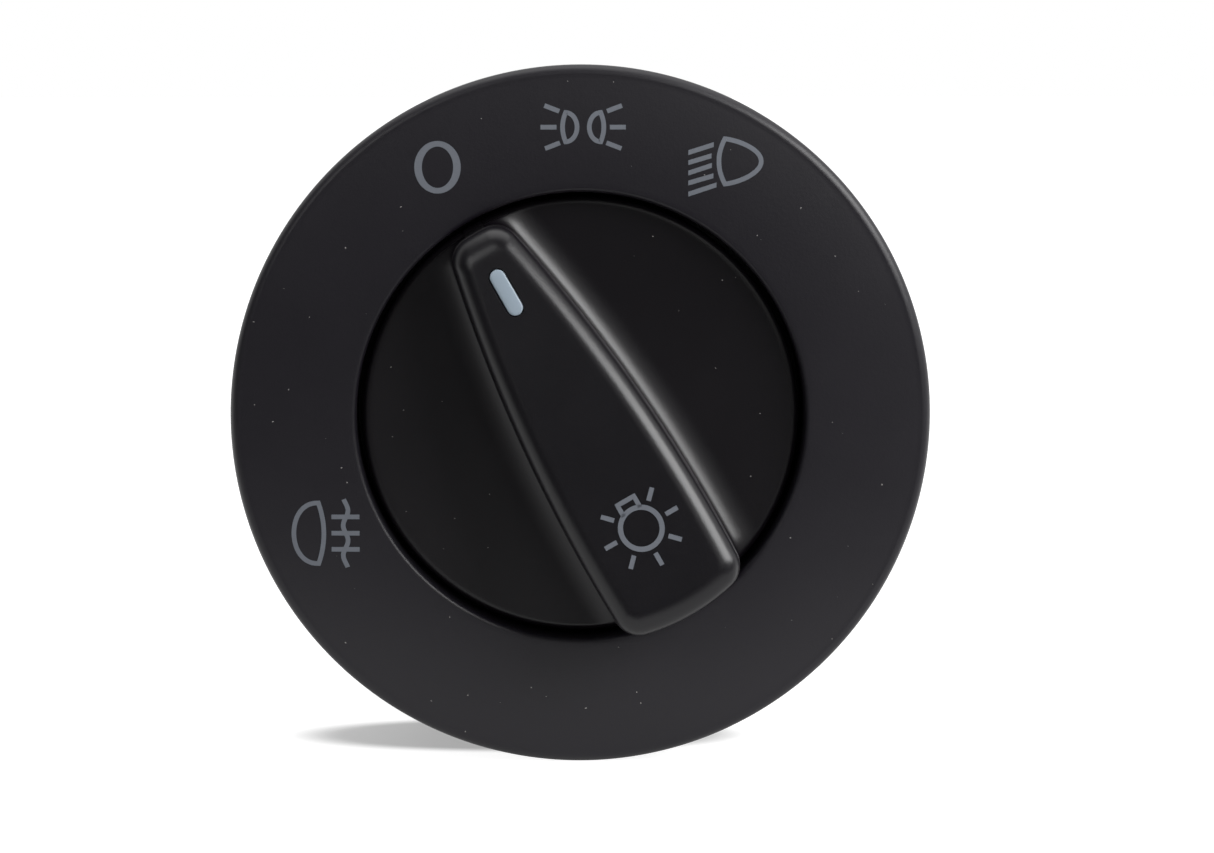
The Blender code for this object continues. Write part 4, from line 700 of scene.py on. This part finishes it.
class Layout(Tree):
    """A geometry node tree with named inputs. It makes a plain mesh on a carrier mesh."""

    def __init__(self, name, inputs):
        super().__init__(bpy.data.node_groups.new(name, "GeometryNodeTree"))
        self.tree.interface.new_socket("Geometry", in_out="INPUT", socket_type="NodeSocketGeometry")
        self.inputs = {}
        for label, value in inputs.items():
            kind = "NodeSocketInt" if isinstance(value, int) else "NodeSocketFloat"
            made = self.tree.interface.new_socket(label, in_out="INPUT", socket_type=kind)
            self.inputs[made.identifier] = value
        self.tree.interface.new_socket("Geometry", in_out="OUTPUT", socket_type="NodeSocketGeometry")
        self.start = self.make("NodeGroupInput", {})

    def make(self, kind, sockets, settings=()):
        """A node's outputs."""
        return self.node(kind, dict(settings), sockets).outputs

    def worked(self, carrier, instances, material):
        """Ends the tree and returns the mesh that it makes on the carrier."""
        real = self.make("GeometryNodeRealizeInstances", {0: instances})
        paint = self.make("GeometryNodeSetMaterial", {0: real[0], "Material": material})
        self.make("NodeGroupOutput", {0: paint[0]})
        holder = bpy.data.objects.new("carrier", carrier)
        bpy.context.scene.collection.objects.link(holder)
        layout = holder.modifiers.new("Layout", "NODES")
        layout.node_group = self.tree
        for identifier, value in self.inputs.items():
            layout[identifier] = value
        return applied(holder)


def rays(skin, places, length, width, height):
    """Equal rays at their places (x, y, turn in degrees), set out by a node tree."""
    carrier = bpy.data.meshes.new("ray_places")
    carrier.from_pydata([(x, y, 0.0) for x, y, _ in places], [], [])
    turns = carrier.attributes.new("turn", "FLOAT", "POINT")
    turns.data.foreach_set("value", [math.radians(turn) for _, _, turn in places])
    tree = Layout("ray_layout", {"Length": length, "Width": width})
    start = tree.start
    bar = tree.make("GeometryNodeMeshGrid", {
        "Size X": start["Length"], "Size Y": start["Width"], "Vertices X": RAY_STEPS, "Vertices Y": 2,
    })
    turn = tree.make("GeometryNodeInputNamedAttribute", {"Name": "turn"}, {"data_type": "FLOAT"})
    spin = tree.make("ShaderNodeCombineXYZ", {"Z": turn["Attribute"]})
    lay = tree.make("GeometryNodeInstanceOnPoints", {
        "Points": start["Geometry"], "Instance": bar["Mesh"], "Rotation": spin[0],
    })
    flat = tree.worked(carrier, lay[0], INK)
    for i in range(len(places)):
        points = [v.co.xy for v in flat.vertices[2 * RAY_STEPS * i:2 * RAY_STEPS * (i + 1)]]
        band(skin, points[0::2], points[1::2], height, False)


def specks(name, skin, place, count, area, seed, body):
    """Dust on a surface, as it lies on the switch in the photograph. Area is in square millimetres."""
    tree = Layout(name, {
        "Density": count / area / MM ** 2, "Seed": seed, "Smallest": 0.02 * MM, "Largest": 0.075 * MM,
    })
    start = tree.start
    points = tree.make("GeometryNodeDistributePointsOnFaces", {
        "Mesh": start["Geometry"], "Density": start["Density"], "Seed": start["Seed"],
    })

    def drawn(low, high, seed):
        """A random number for each speck."""
        sockets = {2: low, 3: high, "Seed": seed}
        return tree.make("FunctionNodeRandomValue", sockets, {"data_type": "FLOAT"})[1]

    size = drawn(start["Smallest"], start["Largest"], start["Seed"])
    shape = tree.make("ShaderNodeCombineXYZ", {"X": drawn(0.7, 2.2, seed + 1), "Y": 0.6, "Z": 1.0})
    scale = tree.make("ShaderNodeVectorMath", {0: shape[0], "Scale": size}, {"operation": "SCALE"})
    turn = tree.make("ShaderNodeCombineXYZ", {"Y": drawn(0.0, math.tau, seed + 2)})
    grain = tree.make("GeometryNodeMeshIcoSphere", {"Radius": 1.0, "Subdivisions": 1})
    lay = tree.make("GeometryNodeInstanceOnPoints", {
        "Points": points["Points"], "Instance": grain[0], "Scale": scale[0], "Rotation": turn[0],
    })
    made = tree.worked(skin.mesh(name + "_carrier", place), lay[0], DUST)
    made.name = name
    add_piece(name, made, DUST, body, "pointer")


def dust():
    """Specks on the bezel's face and on the knob's two lobes."""
    around = Skin()
    for low, high in ((0.0, math.pi), (math.pi, math.tau)):
        rows = []
        for r in spread_over(8, FACE_INNER + 0.4, FACE_OUTER):
            z = face_height(r, 0)
            rows.append([(r * math.cos(a), r * math.sin(a), z) for a in spread_over(49, low, high)])
        around.loft(rows, loop=False)
    specks("dust_on_bezel", around, FACE, count=46, area=1800.0, seed=4, body="housing")
    lobes = Skin()
    for side in (1, -1):
        rows = []
        for y in spread_over(25, -LOBE_END, LOBE_END):
            across = spread_over(9, LOBE_INNER, math.sqrt(LOBE_RADIUS ** 2 - y * y))
            rows.append([(side * x, y, disc_height(x, y)) for x in across])
        lobes.loft(rows, loop=False)
    specks("dust_on_knob", lobes, KNOB, count=16, area=520.0, seed=7, body="knob")


def bezel_symbols():
    """Off, parking lamps, low beam and rear fog lamp, each as it stands in the photograph."""
    skin = Skin()
    off = (-13.83, 24.16)
    band(skin, oval(off, 2.24, 2.53), oval(off, 1.51, 1.99), face_height, True)
    # Parking lamps
    x, y = 0.21, 28.01
    for side in (-1, 1):
        lamp = moved(lens(1.1, 2.8, 0.3), (x + side * 1.69, y), mirror=-side)
        stroke(skin, lamp, PEN, face_height, True)
        spots = [(3.34, 0.0, 0), (3.02, 1.8, 21), (2.96, -1.78, -21)]
        places = [(x + side * out, y + up, side * turn) for out, up, turn in spots]
        rays(skin, places, 1.54, PEN, face_height)
    # Low beam, its rays cut upright at both ends
    stroke(skin, moved(lens(3.52, 4.34, 0.58, 1.45), (13.88, 24.69)), PEN, face_height, True)
    start = 10.35
    for left, right, end in (
        (25.54, 26.32, 12.81), (24.58, 25.24, 12.59), (23.58, 24.32, 12.62),
        (22.62, 23.32, 12.77), (21.55, 22.44, 13.07),
    ):
        line = [(start + (end - start) * s, left + (right - left) * s) for s in spread_over(8)]
        sides = [[(x, y + sign * PEN * 0.52) for x, y in line] for sign in (1, -1)]
        band(skin, *sides, face_height, False)
    # Rear fog lamp, with a wave across its rays
    fog = moved(lens(2.4, 5.95, 0.52, 0.85), (-25.47, -11.36), mirror=-1)
    stroke(skin, fog, PEN, face_height, True)
    rays(skin, [(-22.85, y, 0) for y in (-9.74, -11.34, -12.92)], 2.72, PEN, face_height)
    swing, crest, length = 0.235, -9.12, 2.93
    wave = []
    for y in spread_over(49, -8.02, -14.68):
        wave.append((-22.84 + swing * math.cos(math.tau * (y - crest) / length), y))
    stroke(skin, wave, PEN, face_height)
    add_piece("bezel_symbols", skin.mesh("bezel_symbols", FACE), INK, "housing", "pointer")


def bulb_symbol():
    """Bulb with rays on the grip's wide end, upright as the knob stands in the photograph."""
    skin = Skin()

    def height(x, y):
        return grip_top(y)

    place = (0.0, -11.05)
    stroke(skin, oval(place, 1.98, 1.98), BULB_PEN, height, True)
    cap = [(-0.9, 1.75), (-0.9, 2.96), (0.9, 2.96), (0.9, 1.75)]
    stroke(skin, moved(cap, place), PEN, height)
    places = []
    for clock in range(45, 360, 45):
        x, y = polar(3.32, clock)
        places.append((place[0] + x, place[1] + y, 90 - clock))
    rays(skin, places, 1.3, PEN, height)
    add_piece("bulb_symbol", skin.mesh("bulb_symbol", KNOB), INK, "knob", "pointer")


# Finer copies of CAD nodes

FLATS, CUTS, ROUND_FROM = 32, 5, 8.0 * MM


def solid_of(node):
    """A copy of a CAD node's mesh with its doubles merged."""
    shape = bmesh.new()
    shape.from_mesh(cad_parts[node].data)
    bmesh.ops.remove_doubles(shape, verts=shape.verts[:], dist=SAME_POINT)
    return shape


def add_fine(node, shape, material, body, slot, angle):
    """Puts a finer copy of a node in its place. Edges that bend past the angle stay crisp."""
    bmesh.ops.recalc_face_normals(shape, faces=shape.faces[:])
    made = bpy.data.meshes.new(node + "_fine")
    shape.to_mesh(made)
    shape.free()
    for left in [a for a in made.attributes if a.name == "custom_normal"]:
        made.attributes.remove(left)
    made.set_sharp_from_angle(angle=math.radians(angle))
    add_piece(node + "_fine", made, material, body, slot, node)


def rounder(node):
    """A moulding with the flats round the switch's axis cut finer and bent to true arcs.

    Each such face keeps the radius of its arc. Rounds smaller than ROUND_FROM stay as they are.
    """
    shape = solid_of(node)
    arc = shape.faces.layers.float.new("arc")
    step = math.tau / FLATS
    for face in shape.faces:
        n = face.normal
        turn = math.atan2(n.z, n.x) / step
        if abs(n.y) < 0.01 and abs(turn % 1.0 - 0.5) < 0.01:
            face[arc] = abs(face.verts[0].co.dot(n)) / math.cos(step / 2)
    for i in range(FLATS // 2 * (CUTS + 1)):
        if i % (CUTS + 1):
            angle = i * step / (CUTS + 1)
            faces = [f for f in shape.faces if f[arc] > ROUND_FROM]
            geom = dict.fromkeys(part for f in faces for part in (f, *f.edges, *f.verts))
            bmesh.ops.bisect_plane(shape, geom=list(geom), dist=SAME_POINT, plane_co=(0, 0, 0),
                                   plane_no=(-math.sin(angle), 0, math.cos(angle)))
    for face in shape.faces:
        face.smooth = face[arc] > ROUND_FROM
    for vert, radius in {v: f[arc] for f in shape.faces if f.smooth for v in f.verts}.items():
        stretch = radius / math.hypot(vert.co.x, vert.co.z)
        vert.co.x, vert.co.z = vert.co.x * stretch, vert.co.z * stretch
    add_fine(node, shape, DARK_PLASTIC, "housing", "housing", 9)


def softened(node, width, material, body, slot):
    """A small part with its edges rounded off."""
    shape = solid_of(node)
    flat, crisp = math.radians(1), math.radians(40)
    bmesh.ops.dissolve_limit(shape, angle_limit=flat, verts=shape.verts[:], edges=shape.edges[:])
    edges = [e for e in shape.edges if len(e.link_faces) == 2 and e.calc_face_angle() > crisp]
    bmesh.ops.bevel(shape, geom=edges, offset=width * MM, segments=2, profile=0.5, affect="EDGES",
                    clamp_overlap=True)
    for face in shape.faces:
        face.smooth = True
    add_fine(node, shape, material, body, slot, 50)


bezel()
knob()
grip_cap()
bezel_symbols()
bulb_symbol()
for moulding in ("housing", "rear_cover"):
    rounder(moulding)
for side in ("latch_left", "latch_right"):
    softened(side, 0.14, LATCH_PLASTIC, side, "natural")
for number in range(1, 11):
    softened(f"terminal_{number}", 0.06, TINNED, "housing", "tinned")
dust()


# Studio

FLOOR, FLOOR_FRONT, FLOOR_BACK, FLOOR_SIDE = -34.05 * MM, -0.08, 1.5, 0.9
# Painted shade on the floor: a fixed ellipse at the switch's foot where the floor glows less, so that the
# lamps' real shadow shows in it
PAINTED_SHADE_CENTRE, PAINTED_SHADE_REACH = (-5.5 * MM, 12.5 * MM), (21.0 * MM, 9.5 * MM)
PAINTED_SHADE_GLOW, NEAR_GLOW, AMBIENT, ROOM_GLOSS = 0.36, 0.93, 0.22, 0.04
WHITE = (1.0, 1.0, 1.0)


def floor_paper():
    """White paper that camera, gloss and glass see glow, with a painted shade at the switch's foot: there
    the glow is lower, so that the lamps' shadow shows in it.
    """
    made = Finish("floor_paper", {"Roughness": 0.9, "Specular IOR Level": 0.1})
    made.set("Base Color", made.blend(made.noise(60.0, 3.0), (0.49, 0.49, 0.49), (0.50, 0.50, 0.50)))
    where = made.node("ShaderNodeTexCoord", {}, {}).outputs["Object"]

    def span(centre, reach):
        """How far off the centre a point of the floor lies, in shares of the reach."""
        scale = (1.0 / reach[0], 1.0 / reach[1], 0.0)
        shift = (-centre[0] * scale[0], -centre[1] * scale[1], 0.0)
        sockets = {"Vector": where, "Location": shift, "Scale": scale}
        spot = made.node("ShaderNodeMapping", {}, sockets).outputs[0]
        length = made.node("ShaderNodeVectorMath", {"operation": "LENGTH"}, {0: spot})
        return Value(made, length.outputs["Value"])

    # Painted shade: the glow drops in a fixed ellipse at the switch's foot, whatever the lamps do
    painted_shade = PAINTED_SHADE_GLOW + (NEAR_GLOW - PAINTED_SHADE_GLOW) * span(PAINTED_SHADE_CENTRE, PAINTED_SHADE_REACH).step(0.85, 1.2)
    glow = painted_shade + (1.0 - NEAR_GLOW) * span((0.0, 0.0), (1.0, 1.0)).step(0.2, 0.6)
    deep = made.node("ShaderNodeSeparateXYZ", {}, {0: where})
    behind = 0.35 + 0.65 * Value(made, deep.outputs["Y"]).step(-0.01, 0.03)
    path = made.node("ShaderNodeLightPath", {}, {}).outputs
    camera_ray, gloss_ray, glass_ray = (
        Value(made, path[kind]) for kind in ("Is Camera Ray", "Is Glossy Ray", "Is Transmission Ray")
    )
    shown = made.node("ShaderNodeEmission", {}, {
        "Color": WHITE, "Strength": glow * (camera_ray + behind * gloss_ray + glass_ray),
    })
    both = made.node("ShaderNodeAddShader", {}, {0: made.shader.outputs[0], 1: shown.outputs[0]})
    made.tree.links.new(both.outputs[0], made.output.inputs["Surface"])
    return made.material


def sheet(name, corners, material):
    """A flat sheet of the studio, which isn't part of the switch."""
    mesh = bpy.data.meshes.new(name)
    mesh.from_pydata(corners, [], [(0, 1, 2, 3)])
    mesh.materials.append(material)
    made = bpy.data.objects.new(name, mesh)
    bpy.context.scene.collection.objects.link(made)


def area_light(name, clock, off_axis, distance, size, level):
    """Soft light seen from the switch at a clock angle and an angle off its axis.

    Level is the share of a surface's written colour that it gives one facing it.
    """
    c, o = math.radians(clock), math.radians(off_axis)
    away = Vector((math.sin(o) * math.sin(c), -math.cos(o), math.sin(o) * math.cos(c)))
    data = bpy.data.lights.new(name, "AREA")
    data.shape, (data.size, data.size_y) = "RECTANGLE", size
    data.energy = level * math.pi ** 2 * distance ** 2
    made = bpy.data.objects.new(name, data)
    bpy.context.scene.collection.objects.link(made)
    made.location = away * distance
    made.rotation_euler = away.to_track_quat("Z", "Y").to_euler()


def sky():
    """White behind the switch. In front it is a dim room to gloss. It lights the switch evenly."""
    world = bpy.data.worlds.new("studio")
    bpy.context.scene.world = world
    world.use_nodes = True
    tree = Tree(world.node_tree)

    def mix(factor, low, high):
        return tree.node("ShaderNodeMix", {}, {0: factor, 2: low, 3: high}).outputs[0]

    path = tree.node("ShaderNodeLightPath", {}, {}).outputs
    seen = tree.node("ShaderNodeMath", {"operation": "ADD", "use_clamp": True}, {
        0: path["Is Camera Ray"], 1: path["Is Transmission Ray"],
    })
    where = tree.node("ShaderNodeTexCoord", {}, {}).outputs["Generated"]
    deep = tree.node("ShaderNodeSeparateXYZ", {}, {0: where}).outputs["Y"]
    gloss = mix(Value(tree, deep).step(-0.25, 0.3), ROOM_GLOSS, 1.0)
    strength = mix(seen.outputs[0], mix(path["Is Glossy Ray"], AMBIENT, gloss), 1.0)
    glow = tree.node("ShaderNodeBackground", {}, {"Color": WHITE, "Strength": strength})
    tree.node("ShaderNodeOutputWorld", {}, {0: glow.outputs[0]})


def studio():
    """Floor, sky and five soft lamps. Lamp sizes and distances are in metres."""
    bpy.context.scene.view_settings.view_transform = "Standard"
    sheet("floor", [
        (-FLOOR_SIDE, FLOOR_FRONT, FLOOR), (FLOOR_SIDE, FLOOR_FRONT, FLOOR),
        (FLOOR_SIDE, FLOOR_BACK, FLOOR), (-FLOOR_SIDE, FLOOR_BACK, FLOOR),
    ], floor_paper())
    sky()
    area_light("highlight_right", 54, 62, 0.75, (0.6, 0.32), 1.1)
    area_light("rim_right", 45, 20, 0.75, (0.2, 0.2), 0.03)
    area_light("key_left", -45, 40, 0.75, (0.28, 0.28), 0.12)
    area_light("fill_left", -120, 82, 0.75, (0.5, 0.3), 0.31)
    area_light("top_soft", 0, 88, 0.8, (0.9, 0.6), 0.42)


def camera():
    """The photograph's view, from a little above the switch's axis and to its left.

    The lens and the shifts put the bezel where the photograph has it, as wide in pixels.
    """
    data = bpy.data.cameras.new("camera")
    made = bpy.data.objects.new("camera", data)
    bpy.context.scene.collection.objects.link(made)
    tilt, side, distance = math.radians(6.0), math.radians(-1.1), 0.5
    away = Vector((math.cos(tilt) * math.sin(side), -math.cos(tilt) * math.cos(side), math.sin(tilt)))
    made.location = Vector((0.0, -4.2 * MM, 0.0)) + distance * away
    made.rotation_euler = away.to_track_quat("Z", "Y").to_euler()
    photo_width, photo_middle = 1214.0, (607.0, 426.5)
    bezel_pixels, bezel_middle = 701.1, (580.9, 415.8)
    data.sensor_width = 36.0
    data.lens = 36.0 * (bezel_pixels / (2 * BEZEL_RADIUS * MM)) * distance / photo_width
    data.shift_x = (photo_middle[0] - bezel_middle[0]) / photo_width
    data.shift_y = (bezel_middle[1] - photo_middle[1]) / photo_width
    data.clip_start, data.clip_end = 0.01, 20.0
    bpy.context.scene.camera = made


studio()
camera()
